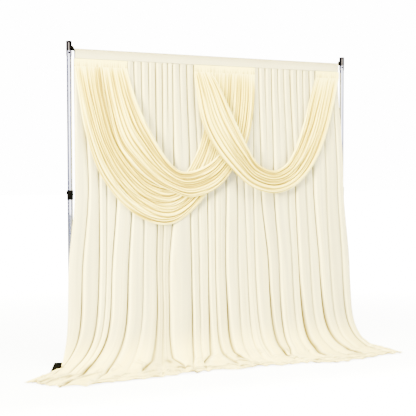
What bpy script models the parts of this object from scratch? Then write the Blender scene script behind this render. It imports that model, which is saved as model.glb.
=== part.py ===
"""Draped backdrop on a pipe stand.

Two telescopic uprights on steel base plates carry a crossbar. One pleated curtain hangs from the
bar in a rod pocket and runs out over the floor in front as a train. Three gathered swags, sewn to
flat tapes under the pocket, cross its face.

Metres, +Z up. +X runs along the crossbar and the front faces -Y. The origin is on the floor, in the
middle of the ground that the whole backdrop covers; every piece is placed from the empty "stand",
which sits on the floor under the middle of the crossbar.
"""
import math

import bmesh
import bpy

# ---- driving sizes ------------------------------------------------------------------------------
STAND_PLACE = (0.1445, 0.332, 0.0)     # the middle of the crossbar, on the floor
POST_X = 1.50                       # each upright's axis, from the middle
POST_HEIGHT = 3.05
SEAT = 0.0003                       # space left between two pieces that touch
CLOTH = 0.002                       # thickness of every sheet of cloth

PLATE_WIDTH, PLATE_LENGTH, PLATE_THICK = 0.36, 0.41, 0.006
PLATE_TURN = math.radians(-21)      # the plates stand askew to the crossbar
PIN_RADIUS, PIN_TOP = 0.0225, 0.126

LOWER_TUBE, LOWER_WALL = 0.0254, 0.0018     # radius and wall
UPPER_TUBE, UPPER_WALL = 0.02325, 0.0016
LOWER_TOP = 1.630
UPPER_FOOT, UPPER_TOP = 1.230, 2.945

COLLAR_RADIUS, COLLAR_LOW, COLLAR_HIGH = 0.030, 1.577, 1.667
COLLAR_ROUND = 0.003
BOSS_RADIUS, BOSS_BACK, BOSS_FACE = 0.014, 0.0262, 0.040
KNOB_HEIGHT = 1.641
KNOB_RADIUS, KNOB_THICK = 0.0205, 0.016
KNOB_LOBES, LOBE_DEPTH = 5, 0.08
STEM_RADIUS = 0.004

HEAD_RADIUS, HEAD_LOW, HEAD_ROOF = 0.027, 2.912, 0.010
HEAD_ROUND = 0.006
SLOT_WIDTH, SLOT_LOW, SLOT_HIGH = 0.010, 2.972, 3.034
RIVET_RADIUS, RIVET_THICK, RIVET_HEIGHT = 0.005, 0.003, 2.940
RIVET_TURN = math.radians(-14)      # from straight ahead, round the upright

BAR_RADIUS, BAR_WALL, BAR_END = 0.019, 0.0016, 1.430
BAR_HEIGHT = 2.9627
HOOK_THICK = 0.006
PLUG_LENGTH, FLANGE_THICK = 0.040, 0.003
HOOK_OUTLINE = (
    # beyond the end of the bar, above its axis
    (0.0015, -0.0120),
    (0.0200, -0.0040),
    (0.0410, 0.0018),
    (0.0410, 0.0096),
    (0.0475, 0.0096),
    (0.0475, -0.0007),
    (0.0555, 0.0013),
    (0.0575, 0.0353),
    (0.0505, 0.0433),
    (0.0330, 0.0453),
    (0.0250, 0.0333),
    (0.0140, 0.0080),
    (0.0015, 0.0120),
)

POCKET_END, POCKET_LOW = 1.445, 2.890
POCKET_SIDES = 12                   # flats round the top of the loop
POCKET_FOOT_WIDTH = 0.037           # front to back along the seam with the curtain
TAPE_THICK, TAPE_HIGH, TAPE_LOW, TAPE_FRONT = 0.003, 2.888, 2.820, -0.0206

# ---- curtain ------------------------------------------------------------------------------------
HEADING = POCKET_LOW - SEAT         # top edge of the curtain
WAIST, FOOT = 1.70, 0.80            # heights at which the crease table gives places
TOE = 0.05                          # height at which the cloth turns on to the floor
PLEAT_DEPTH = 0.028                 # of the pleats along the heading
HANG_BACK, HANG_LEAN = 0.013, -0.070        # valleys: place at the heading, and lean by the toe
LEAN_POWER = 1.25
LEAD_START, LEAD_FULL = 2.80, 2.20  # heights between which a crease takes its lead
KNEE, BEND = 0.55, 1.5              # height and sharpness of the curve out to the train
SETTLE, SETTLED = 0.022, 0.35       # how far the train sinks to the floor, and by what level
TOE_FOLD, HEM_FOLD = 0.40, 0.12     # share of a fold's depth left at the toe and at the hem
CREST_POWER = 2.4                   # 2 is a round crest, more is a flatter one
PLATE_MARGIN, PLATE_SLOPE, EDGE_GAP = 0.03, 0.06, 0.002     # how the cloth lies over a base plate

# One row for each crease, left to right: where it starts at the heading, where it runs across the
# waist and across the foot, where it ends at the hem (across, and in front of the crossbar), how far
# the cloth stands forward between it and the next crease, how wide its curve out to the floor is,
# how far it bows to the right on the way, how far ahead of the others it hangs from the waist down,
# and the heading pleats up to the next crease.
CREASES = (
    # heading, waist, foot, hem_x, hem_y, depth, sweep, bow, ahead, pleats
    (-1.452, -1.468, -1.515, -2.03, -0.42, 0.018, 0.061, -0.065, 0.012, 1),
    (-1.378, -1.345, -1.395, -1.93, -0.57, 0.034, 0.085, -0.045, 0.000, 2),
    (-1.231, -1.235, -1.275, -1.79, -0.71, 0.030, 0.110, -0.03, 0.000, 1),
    (-1.158, -1.145, -1.180, -1.66, -0.79, 0.030, 0.125, -0.01, 0.000, 1),
    (-1.085, -1.060, -1.110, -1.53, -0.81, 0.042, 0.130, 0.00, 0.000, 2),
    (-0.938, -0.905, -0.955, -1.30, -0.75, 0.038, 0.135, 0.00, 0.000, 2),
    (-0.785, -0.775, -0.800, -1.10, -0.74, 0.040, 0.140, 0.00, 0.000, 2),
    (-0.640, -0.640, -0.660, -0.93, -0.77, 0.020, 0.140, 0.00, 0.000, 1),
    (-0.570, -0.580, -0.600, -0.80, -0.75, 0.038, 0.140, 0.00, 0.000, 2),
    (-0.460, -0.462, -0.490, -0.66, -0.73, 0.044, 0.140, 0.00, 0.000, 2),
    (-0.310, -0.300, -0.285, -0.50, -0.74, 0.030, 0.140, 0.00, 0.000, 1),
    (-0.235, -0.205, -0.200, -0.37, -0.72, 0.028, 0.140, 0.00, 0.000, 2),
    (-0.088, -0.100, -0.105, -0.24, -0.71, 0.024, 0.140, 0.00, 0.000, 1),
    (-0.015, -0.020, -0.025, -0.12, -0.76, 0.040, 0.140, 0.00, 0.000, 2),
    (0.130, 0.100, 0.110, 0.03, -0.76, 0.038, 0.140, 0.00, 0.000, 1),
    (0.205, 0.215, 0.215, 0.18, -0.76, 0.028, 0.140, 0.00, 0.000, 1),
    (0.280, 0.310, 0.305, 0.31, -0.80, 0.030, 0.140, 0.00, 0.000, 2),
    (0.425, 0.400, 0.400, 0.43, -0.79, 0.036, 0.140, 0.00, 0.000, 1),
    (0.492, 0.515, 0.555, 0.57, -0.82, 0.042, 0.145, 0.00, 0.000, 2),
    (0.640, 0.665, 0.695, 0.72, -0.86, 0.044, 0.145, 0.00, 0.000, 2),
    (0.785, 0.815, 0.875, 0.86, -0.91, 0.024, 0.150, 0.00, 0.000, 1),
    (0.860, 0.905, 0.925, 0.98, -0.92, 0.038, 0.150, 0.00, 0.000, 2),
    (1.015, 1.040, 1.050, 1.12, -0.89, 0.028, 0.150, 0.00, 0.000, 1),
    (1.090, 1.130, 1.170, 1.26, -0.87, 0.042, 0.145, 0.01, 0.000, 2),
    (1.235, 1.275, 1.300, 1.42, -0.82, 0.036, 0.135, 0.02, 0.005, 2),
    (1.380, 1.420, 1.450, 1.57, -0.84, 0.020, 0.115, 0.04, 0.011, 1),
    (1.452, 1.500, 1.565, 1.69, -0.80, 0.000, 0.095, 0.06, 0.022, 1),
)
COLUMNS_PER_FOLD = 4
# Levels down the cloth: 0 is the heading, 1 is the toe and 2 is the hem.
CURTAIN_LEVELS = (0.0, 0.0246, 0.10, 0.25, 0.48, 0.70, 0.84, 0.92, 0.97, 1.0, 1.25, 1.6, 2.0)

# ---- swags --------------------------------------------------------------------------------------
SWAG_PLEAT_DEPTH = 0.013
GATHER_ZONE = 0.16                  # share of a swag's length over which its pleats open out

# One row for each section along a swag, from its left end to its right end: the place of its outer,
# lower edge and of its inner, upper edge, and how far its back lies in front of the crossbar.
SWAG_LOW_SECTIONS = (
    # outer_x, outer_z, inner_x, inner_z, forward
    (-1.455, 2.8192, -1.200, 2.8192, 0.0178),
    (-1.430, 2.590, -1.160, 2.520, 0.040),
    (-1.370, 2.220, -1.060, 2.150, 0.062),
    (-1.250, 1.850, -0.920, 1.940, 0.076),
    (-1.050, 1.565, -0.770, 1.800, 0.082),
    (-0.830, 1.395, -0.630, 1.740, 0.084),
    (-0.620, 1.323, -0.500, 1.735, 0.084),
    (-0.440, 1.350, -0.400, 1.790, 0.084),
    (-0.250, 1.487, -0.325, 1.870, 0.083),
    (-0.070, 1.700, -0.240, 2.020, 0.078),
    (0.070, 2.000, -0.155, 2.240, 0.066),
    (0.160, 2.370, -0.075, 2.540, 0.046),
    (0.205, 2.8192, -0.015, 2.8192, 0.0178),
)
SWAG_HIGH_SECTIONS = (
    # outer_x, outer_z, inner_x, inner_z, forward
    (-1.195, 2.8192, -0.937, 2.8192, 0.0178),
    (-1.150, 2.480, -0.885, 2.600, 0.050),
    (-1.065, 2.120, -0.800, 2.370, 0.084),
    (-0.910, 1.910, -0.700, 2.170, 0.099),
    (-0.720, 1.745, -0.580, 1.980, 0.107),
    (-0.510, 1.640, -0.460, 1.860, 0.109),
    (-0.320, 1.583, -0.350, 1.835, 0.109),
    (-0.130, 1.625, -0.210, 1.870, 0.108),
    (0.035, 1.725, -0.070, 1.950, 0.105),
    (0.200, 1.930, 0.045, 2.080, 0.096),
    (0.335, 2.160, 0.130, 2.270, 0.078),
    (0.415, 2.500, 0.185, 2.550, 0.046),
    (0.440, 2.8192, 0.212, 2.8192, 0.0178),
)
SWAG_RIGHT_SECTIONS = (
    # outer_x, outer_z, inner_x, inner_z, forward
    (-0.236, 2.8192, -0.045, 2.8192, 0.0178),
    (-0.236, 2.640, 0.030, 2.665, 0.062),
    (-0.185, 2.310, 0.125, 2.440, 0.100),
    (-0.050, 2.050, 0.220, 2.230, 0.124),
    (0.140, 1.838, 0.310, 2.060, 0.134),
    (0.340, 1.683, 0.420, 1.910, 0.133),
    (0.590, 1.613, 0.600, 1.845, 0.118),
    (0.810, 1.655, 0.730, 1.890, 0.106),
    (0.985, 1.775, 0.825, 1.990, 0.096),
    (1.130, 1.950, 0.905, 2.150, 0.086),
    (1.250, 2.180, 0.985, 2.340, 0.072),
    (1.345, 2.450, 1.060, 2.560, 0.052),
    (1.452, 2.8192, 1.165, 2.8192, 0.0178),
)
SWAGS = (
    # node, sections, pleats across, segments along
    ("swag_low", SWAG_LOW_SECTIONS, 13, 18),
    ("swag_high", SWAG_HIGH_SECTIONS, 9, 18),
    ("swag_right", SWAG_RIGHT_SECTIONS, 8, 18),
)
TAPES = (
    # node, left end, right end
    ("tape_left", -1.455, -0.937),
    ("tape_middle", -0.236, 0.440),
    ("tape_right", 1.165, 1.452),
)


# ---- scene and materials ------------------------------------------------------------------------
def clear_scene():
    """Remove every object and leave the parts' and the cutters' collections and the stand's empty."""
    for old in list(bpy.data.objects):
        bpy.data.objects.remove(old, do_unlink=True)
    parts = bpy.data.collections.new("draped_backdrop")
    cutters = bpy.data.collections.new("cutters")
    bpy.context.scene.collection.children.link(parts)
    bpy.context.scene.collection.children.link(cutters)
    stand = bpy.data.objects.new("stand", None)
    stand.location = STAND_PLACE
    parts.objects.link(stand)
    return parts, cutters, stand


def finish(name, colour, roughness, metallic=0.0):
    """A plain Principled material."""
    material = bpy.data.materials.new(name)
    material.use_nodes = True
    shader = material.node_tree.nodes["Principled BSDF"]
    shader.inputs["Base Color"].default_value = (*colour, 1.0)
    shader.inputs["Roughness"].default_value = roughness
    shader.inputs["Metallic"].default_value = metallic
    return material


PARTS, CUTTERS, STAND = clear_scene()
POLISHED = finish("polished_aluminium", (0.78, 0.79, 0.82), 0.18, 1.0)
PLATED = finish("plated_steel", (0.42, 0.38, 0.33), 0.30, 1.0)
BLACK_STEEL = finish("black_steel", (0.015, 0.015, 0.016), 0.45)
BLACK_PLASTIC = finish("black_plastic", (0.012, 0.012, 0.014), 0.38)
CURTAIN_CLOTH = finish("ivory_cloth", (0.88, 0.85, 0.76), 0.75)
SWAG_CLOTH = finish("cream_cloth", (0.90, 0.83, 0.62), 0.70)


def add_part(name, mesh, material, place=(0, 0, 0), turn=(0, 0, 0)):
    """Link a mesh as a named piece, placed from the stand's empty."""
    piece = bpy.data.objects.new(name, mesh)
    piece.location = place
    piece.rotation_euler = turn
    piece.parent = STAND
    mesh.materials.append(material)
    PARTS.objects.link(piece)
    return piece


def add_cutter(name, mesh, place=(0, 0, 0), turn=(0, 0, 0)):
    """Link a mesh that only shapes a piece."""
    cutter = bpy.data.objects.new(name, mesh)
    cutter.location = place
    cutter.rotation_euler = turn
    cutter.parent = STAND
    cutter.hide_render = True
    cutter.display_type = "WIRE"
    CUTTERS.objects.link(cutter)
    return cutter


def cut(piece, cutter, operation):
    """Join or cut a piece with another shape."""
    boolean = piece.modifiers.new(operation.lower(), "BOOLEAN")
    boolean.operation = operation
    boolean.object = cutter


def bevel(piece, width, segments=1, angle=50):
    """Break the sharp edges of a piece."""
    edge = piece.modifiers.new("edges", "BEVEL")
    edge.width = width
    edge.segments = segments
    edge.limit_method = "ANGLE"
    edge.angle_limit = math.radians(angle)


# ---- basic meshes -------------------------------------------------------------------------------
def box_mesh(name, size, middle=(0, 0, 0)):
    mesh = bpy.data.meshes.new(name)
    form = bmesh.new()
    bmesh.ops.create_cube(form, size=1.0)
    for corner in form.verts:
        corner.co = [m + s * c for m, s, c in zip(middle, size, corner.co)]
    form.to_mesh(mesh)
    form.free()
    return mesh


def rod_mesh(name, radius, low, high, sides=24):
    """A solid cylinder along its own Z."""
    mesh = bpy.data.meshes.new(name)
    form = bmesh.new()
    bmesh.ops.create_cone(form, cap_ends=True, segments=sides, radius1=radius, radius2=radius,
                          depth=high - low)
    bmesh.ops.translate(form, verts=form.verts, vec=(0, 0, (low + high) / 2))
    form.to_mesh(mesh)
    form.free()
    return mesh


def turned(name, outline, material, closed, sides=24, place=(0, 0, 0), turn=(0, 0, 0)):
    """Turn an outline of (radius, height) points, which runs down its outer side, about Z."""
    mesh = bpy.data.meshes.new(name)
    points = [(radius, 0.0, height) for radius, height in outline]
    edges = [(i, i + 1) for i in range(len(points) - 1)]
    if closed:
        edges.append((len(points) - 1, 0))
    mesh.from_pydata(points, edges, [])
    piece = add_part(name, mesh, material, place, turn)
    screw = piece.modifiers.new("turn", "SCREW")
    screw.steps = sides
    screw.render_steps = sides
    screw.use_merge_vertices = True
    screw.merge_threshold = 0.00001
    screw.use_smooth_shade = True
    return piece


def tube(name, radius, wall, low, high, material, place, turn=(0, 0, 0)):
    """A round tube, open at both ends."""
    outline = ((radius, high), (radius, low), (radius - wall, low), (radius - wall, high))
    return turned(name, outline, material, True, 28, place, turn)


def plate_mesh(name, outlines, thickness):
    """Fill closed outlines in the XY plane, holes included, and give them a thickness along Z."""
    curve = bpy.data.curves.new(name, "CURVE")
    curve.dimensions = "2D"
    curve.fill_mode = "BOTH"
    curve.extrude = thickness / 2
    for outline in outlines:
        spline = curve.splines.new("POLY")
        spline.points.add(len(outline) - 1)
        for point, (x, y) in zip(spline.points, outline):
            point.co = (x, y, 0.0, 1.0)
        spline.use_cyclic_u = True
    source = bpy.data.objects.new(name, curve)
    CUTTERS.objects.link(source)
    evaluated = source.evaluated_get(bpy.context.evaluated_depsgraph_get())
    mesh = bpy.data.meshes.new_from_object(evaluated)
    bpy.data.objects.remove(source, do_unlink=True)
    form = bmesh.new()
    form.from_mesh(mesh)
    bmesh.ops.remove_doubles(form, verts=form.verts, dist=0.00001)
    bmesh.ops.recalc_face_normals(form, faces=form.faces)
    form.to_mesh(mesh)
    form.free()
    return mesh


# ---- stand --------------------------------------------------------------------------------------
def make_base(side, x):
    """Steel plate with the pin that the upright drops over."""
    plate = add_part("base_" + side, box_mesh("base", (PLATE_WIDTH, PLATE_LENGTH, PLATE_THICK),
                                              (0, 0, PLATE_THICK / 2)),
                     BLACK_STEEL, (x, 0, 0), (0, 0, PLATE_TURN))
    bevel(plate, 0.001)
    pin = add_cutter("pin_" + side, rod_mesh("pin", PIN_RADIUS, PLATE_THICK / 2, PIN_TOP), (x, 0, 0))
    cut(plate, pin, "UNION")


def make_upright(side, x):
    """Lower and upper tube, the upper one sliding in the lower one."""
    tube("lower_tube_" + side, LOWER_TUBE, LOWER_WALL, PLATE_THICK + SEAT, LOWER_TOP, POLISHED,
         (x, 0, 0))
    tube("upper_tube_" + side, UPPER_TUBE, UPPER_WALL, UPPER_FOOT, UPPER_TOP, POLISHED, (x, 0, 0))


def make_collar(side, x):
    """Clamp collar over the end of the lower tube, with a boss for its screw at the back."""
    low_bore = LOWER_TUBE + SEAT
    high_bore = UPPER_TUBE + SEAT
    outline = (
        (COLLAR_RADIUS - COLLAR_ROUND, COLLAR_HIGH),
        (COLLAR_RADIUS, COLLAR_HIGH - COLLAR_ROUND),
        (COLLAR_RADIUS, COLLAR_LOW + COLLAR_ROUND),
        (COLLAR_RADIUS - COLLAR_ROUND, COLLAR_LOW),
        (low_bore, COLLAR_LOW),
        (low_bore, LOWER_TOP + SEAT),
        (high_bore, LOWER_TOP + SEAT),
        (high_bore, COLLAR_HIGH),
    )
    collar = turned("collar_" + side, outline, BLACK_PLASTIC, True, 32, (x, 0, 0))
    to_back = (-math.pi / 2, 0, 0)
    boss = add_cutter("boss_" + side, rod_mesh("boss", BOSS_RADIUS, BOSS_BACK, BOSS_FACE),
                      (x, 0, KNOB_HEIGHT), to_back)
    hole = add_cutter("stem_hole_" + side,
                      rod_mesh("stem_hole", STEM_RADIUS + SEAT, UPPER_TUBE - 0.001, BOSS_FACE + 0.001),
                      (x, 0, KNOB_HEIGHT), to_back)
    cut(collar, boss, "UNION")
    cut(collar, hole, "DIFFERENCE")


def make_knob(side, x):
    """Lobed clamp screw; it turns about the line through its origin, along Y."""
    inner = BOSS_FACE + SEAT
    mesh = rod_mesh("knob", KNOB_RADIUS, inner, inner + KNOB_THICK, 40)
    for corner in mesh.vertices:
        around = math.atan2(corner.co.y, corner.co.x)
        swell = 1 + LOBE_DEPTH * math.cos(KNOB_LOBES * around)
        corner.co.x *= swell
        corner.co.y *= swell
    to_back = (-math.pi / 2, 0, 0)
    knob = add_part("clamp_knob_" + side, mesh, BLACK_PLASTIC, (x, 0, KNOB_HEIGHT), to_back)
    bevel(knob, 0.002)
    stem = add_cutter("stem_" + side,
                      rod_mesh("stem", STEM_RADIUS, UPPER_TUBE + 2 * SEAT, inner + KNOB_THICK / 2, 16),
                      (x, 0, KNOB_HEIGHT), to_back)
    cut(knob, stem, "UNION")


def make_head(side, x):
    """Slotted head on the upright; four slots take the hooks of crossbars."""
    bore = UPPER_TUBE + SEAT
    roof = POST_HEIGHT - HEAD_ROOF
    arc = [(HEAD_RADIUS - HEAD_ROUND * (1 - math.sin(a)), POST_HEIGHT - HEAD_ROUND * (1 - math.cos(a)))
           for a in (0.0, math.pi / 6, math.pi / 3, math.pi / 2)]
    outline = [(0.0, POST_HEIGHT), *arc, (HEAD_RADIUS, HEAD_LOW), (bore, HEAD_LOW), (bore, roof),
               (0.0, roof)]
    head = turned("head_" + side, outline, PLATED, False, 32, (x, 0, 0))
    height = SLOT_HIGH - SLOT_LOW
    middle = (0, 0, (SLOT_HIGH + SLOT_LOW) / 2)
    across = 3 * HEAD_RADIUS
    for way, size in (("x", (across, SLOT_WIDTH, height)), ("y", (SLOT_WIDTH, across, height))):
        slot = add_cutter(f"slots_{way}_{side}", box_mesh("slots", size, middle), (x, 0, 0))
        cut(head, slot, "DIFFERENCE")


def make_rivet(side, x):
    """Domed rivet that holds the head on the tube."""
    back = HEAD_RADIUS + SEAT
    outline = ((0.0, back + RIVET_THICK), (RIVET_RADIUS * 0.6, back + RIVET_THICK * 0.8),
               (RIVET_RADIUS, back + RIVET_THICK * 0.3), (RIVET_RADIUS, back), (0.0, back))
    turned("rivet_" + side, outline, PLATED, False, 16, (x, 0, RIVET_HEIGHT),
           (math.pi / 2, 0, RIVET_TURN))


def make_crossbar():
    tube("crossbar", BAR_RADIUS, BAR_WALL, -BAR_END, BAR_END, POLISHED, (0, 0, BAR_HEIGHT),
         (0, math.pi / 2, 0))


def make_hook(side, way):
    """Hook plate on an end plug: it passes a slot of the head and drops behind its wall."""
    outline = [(way * (BAR_END + beyond), BAR_HEIGHT + above) for beyond, above in HOOK_OUTLINE]
    mesh = plate_mesh("hook", [outline], HOOK_THICK)
    hook = add_part("hook_" + side, mesh, BLACK_STEEL, turn=(math.pi / 2, 0, 0))
    along = (0, way * math.pi / 2, 0)
    plug = add_cutter("plug_" + side,
                      rod_mesh("plug", BAR_RADIUS - BAR_WALL - SEAT, BAR_END - PLUG_LENGTH,
                               BAR_END + FLANGE_THICK), (0, 0, BAR_HEIGHT), along)
    flange = add_cutter("flange_" + side,
                        rod_mesh("flange", BAR_RADIUS, BAR_END + SEAT, BAR_END + FLANGE_THICK),
                        (0, 0, BAR_HEIGHT), along)
    cut(hook, flange, "UNION")
    cut(hook, plug, "UNION")


# ---- cloth --------------------------------------------------------------------------------------
def ease(value):
    """0 below 0, 1 above 1, and a smooth step between."""
    value = min(max(value, 0.0), 1.0)
    return value * value * (3 - 2 * value)


def mix(start, end, share):
    return start + (end - start) * share


def sheet(name, columns, rows, place, material):
    """A sheet of cloth: place(across, down) gives its middle surface, each argument from 0 to 1."""
    mesh = bpy.data.meshes.new(name)
    form = bmesh.new()
    bmesh.ops.create_grid(form, x_segments=columns, y_segments=rows, size=0.5)
    for corner in form.verts:
        corner.co = place(corner.co.x + 0.5, corner.co.y + 0.5)
    form.to_mesh(mesh)
    form.free()
    cloth = add_part(name, mesh, material)
    wall = cloth.modifiers.new("cloth", "SOLIDIFY")
    wall.thickness = CLOTH
    wall.offset = 0.0
    wall.use_even_offset = True


def run_out(height, sweep):
    """How far the cloth has run out from its hanging line at a height."""
    return sweep / BEND * math.log((1 + (KNEE / height) ** BEND) / (1 + (KNEE / HEADING) ** BEND))


def run_height(out, sweep):
    """The height at which the cloth has run out so far."""
    return KNEE / ((1 + (KNEE / HEADING) ** BEND) * math.exp(BEND * out / sweep) - 1) ** (1 / BEND)


def resting_height(x, y):
    """The lowest height for the middle of the cloth: over a base plate it lies on the plate."""
    over = 0.0
    for post_x in (-POST_X, POST_X):
        side = (x - post_x) * math.cos(PLATE_TURN) + y * math.sin(PLATE_TURN)
        length = -(x - post_x) * math.sin(PLATE_TURN) + y * math.cos(PLATE_TURN)
        beyond = max(abs(side) - PLATE_WIDTH / 2, abs(length) - PLATE_LENGTH / 2)
        over = max(over, 1 - ease((beyond - PLATE_MARGIN) / PLATE_SLOPE))
    return CLOTH / 2 + over * (PLATE_THICK + EDGE_GAP)


def curtain_place(across, level):
    """A point of the curtain: across is 0 at the left edge and 1 at the right edge."""
    folds = len(CREASES) - 1
    number = min(int(across * folds + 1e-6), folds - 1)
    phase = across * folds - number
    heading_x, waist, foot, hem_x, hem_y, _, sweep, bow, ahead, _ = (
        mix(a, b, phase) for a, b in zip(CREASES[number], CREASES[number + 1]))
    depth, pleats = CREASES[number][5], CREASES[number][9]

    # where the valleys hang, and the line along which they run out to the hem
    down = min(level, 1.0)
    height = mix(HEADING, TOE, down)
    to_waist = ease((HEADING - height) / (HEADING - WAIST))
    to_foot = ease((WAIST - height) / (WAIST - FOOT))
    plan_x = mix(mix(heading_x, waist, to_waist), foot, to_foot)
    lead = ahead * ease((LEAD_START - height) / (LEAD_START - LEAD_FULL))
    plan_y = HANG_BACK + HANG_LEAN * down ** LEAN_POWER - lead
    foot_y = HANG_BACK + HANG_LEAN - ahead
    length = math.hypot(hem_x - foot, hem_y - foot_y)
    way_x, way_y = (hem_x - foot) / length, (hem_y - foot_y) / length
    if level <= 1.0:
        out = run_out(height, sweep)
    else:
        out = mix(run_out(TOE, sweep), length, level - 1)
        height = run_height(out, sweep) - SETTLE * ease((level - 1) / SETTLED)
    flare = ease((KNEE - height) / KNEE)
    swing = flare ** 3 * bow * math.sin(math.pi * math.sqrt(min(out / length, 1.0)))
    x = plan_x + way_x * out - way_y * swing
    y = plan_y + way_y * out + way_x * swing

    # folds and heading pleats stand forward from it, and upward where the cloth lies
    share = mix(to_waist, TOE_FOLD, ease((level - 0.84) / 0.16))
    if level > 1.0:
        share = mix(TOE_FOLD, HEM_FOLD, level - 1)
    rise = share * depth * (1 - abs(2 * phase - 1) ** CREST_POWER)
    pleat = math.sin(math.pi * pleats * phase) ** 2
    rise += (1 - to_waist) * PLEAT_DEPTH * pleat
    lying = ease((out / sweep - 1.0) / 2.0)
    x += mix(0.0, way_x, flare) * rise * (1 - lying)
    y += mix(-1.0, way_y, flare) * rise * (1 - lying)
    return x, y, max(height, resting_height(x, y)) + rise * lying


def make_curtain():
    """One pleated sheet, from the seam under the rod pocket to the hem of the train."""
    rows = len(CURTAIN_LEVELS) - 1

    def place(across, down):
        return curtain_place(across, CURTAIN_LEVELS[round(down * rows)])

    sheet("curtain", (len(CREASES) - 1) * COLUMNS_PER_FOLD, rows, place, CURTAIN_CLOTH)


def make_pocket():
    """The rod pocket: a loop of cloth over the crossbar, closed along its foot."""
    inner = (BAR_RADIUS + SEAT) / math.cos(math.pi / POCKET_SIDES / 2)
    loops = []
    for inset in (0.0, CLOTH):
        radius = inner + CLOTH - inset
        turns = [math.pi * step / POCKET_SIDES for step in range(POCKET_SIDES + 1)]
        arc = [(radius * math.cos(a), BAR_HEIGHT + radius * math.sin(a)) for a in turns]
        foot = POCKET_FOOT_WIDTH / 2 - inset
        loops.append([(foot, POCKET_LOW + inset), *arc, (-foot, POCKET_LOW + inset)])
    add_part("rod_pocket", plate_mesh("rod_pocket", loops, 2 * POCKET_END), CURTAIN_CLOTH,
             turn=(math.pi / 2, 0, math.pi / 2))


def make_tape(name, left, right):
    """Flat heading tape that the gathered ends of the swags are sewn to."""
    size = (right - left, TAPE_THICK, TAPE_HIGH - TAPE_LOW)
    middle = ((left + right) / 2, TAPE_FRONT + TAPE_THICK / 2, (TAPE_HIGH + TAPE_LOW) / 2)
    add_part(name, box_mesh(name, size, middle), SWAG_CLOTH)


def section_at(sections, along):
    """The smooth curve through a swag's sections, at along from 0 to 1."""
    last = len(sections) - 1
    number = min(int(along * last), last - 1)
    t = along * last - number
    before, start, end, after = (sections[min(max(number + i, 0), last)] for i in (-1, 0, 1, 2))
    return [0.5 * (2 * b + (c - a) * t + (2 * a - 5 * b + 4 * c - d) * t ** 2
                   + (3 * b - a - 3 * c + d) * t ** 3)
            for a, b, c, d in zip(before, start, end, after)]


def make_swag(name, sections, pleats, segments):
    """A gathered band of cloth that hangs in a loop between two tapes."""
    def place(across, along):
        outer_x, outer_z, inner_x, inner_z, forward = section_at(sections, along)
        opening = ease(min(along, 1 - along) / GATHER_ZONE)
        pleat = SWAG_PLEAT_DEPTH * opening * math.sin(math.pi * pleats * across) ** 2
        return (mix(outer_x, inner_x, across), -forward - CLOTH / 2 - pleat,
                mix(outer_z, inner_z, across))

    sheet(name, 2 * pleats, segments, place, SWAG_CLOTH)


# ---- assembly -----------------------------------------------------------------------------------
for post_side, post_way in (("left", -1), ("right", 1)):
    post_x = post_way * POST_X
    make_base(post_side, post_x)
    make_upright(post_side, post_x)
    make_collar(post_side, post_x)
    make_knob(post_side, post_x)
    make_head(post_side, post_x)
    make_rivet(post_side, post_x)
    make_hook(post_side, post_way)
make_crossbar()
make_pocket()
make_curtain()
for tape in TAPES:
    make_tape(*tape)
for swag in SWAGS:
    make_swag(*swag)
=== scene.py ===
import math

import bmesh
import bpy
import numpy as np
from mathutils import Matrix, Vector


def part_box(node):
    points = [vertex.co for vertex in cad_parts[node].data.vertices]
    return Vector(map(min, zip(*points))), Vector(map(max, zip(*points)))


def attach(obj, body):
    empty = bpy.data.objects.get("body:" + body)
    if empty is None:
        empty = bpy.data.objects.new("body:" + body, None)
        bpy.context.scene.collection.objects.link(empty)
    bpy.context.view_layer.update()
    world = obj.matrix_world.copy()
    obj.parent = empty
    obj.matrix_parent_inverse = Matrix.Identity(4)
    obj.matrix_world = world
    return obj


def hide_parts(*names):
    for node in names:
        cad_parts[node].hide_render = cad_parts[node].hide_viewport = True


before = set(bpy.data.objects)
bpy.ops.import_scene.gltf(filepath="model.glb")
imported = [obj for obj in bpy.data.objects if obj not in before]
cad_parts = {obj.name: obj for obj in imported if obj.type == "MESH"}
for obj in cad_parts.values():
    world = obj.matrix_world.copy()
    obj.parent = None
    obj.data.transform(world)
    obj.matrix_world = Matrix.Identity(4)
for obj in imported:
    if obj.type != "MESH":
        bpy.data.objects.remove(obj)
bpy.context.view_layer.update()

stand_low, stand_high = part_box("crossbar")
STAND_X = (stand_low[0] + stand_high[0]) / 2
STAND_Y = (stand_low[1] + stand_high[1]) / 2


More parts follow.
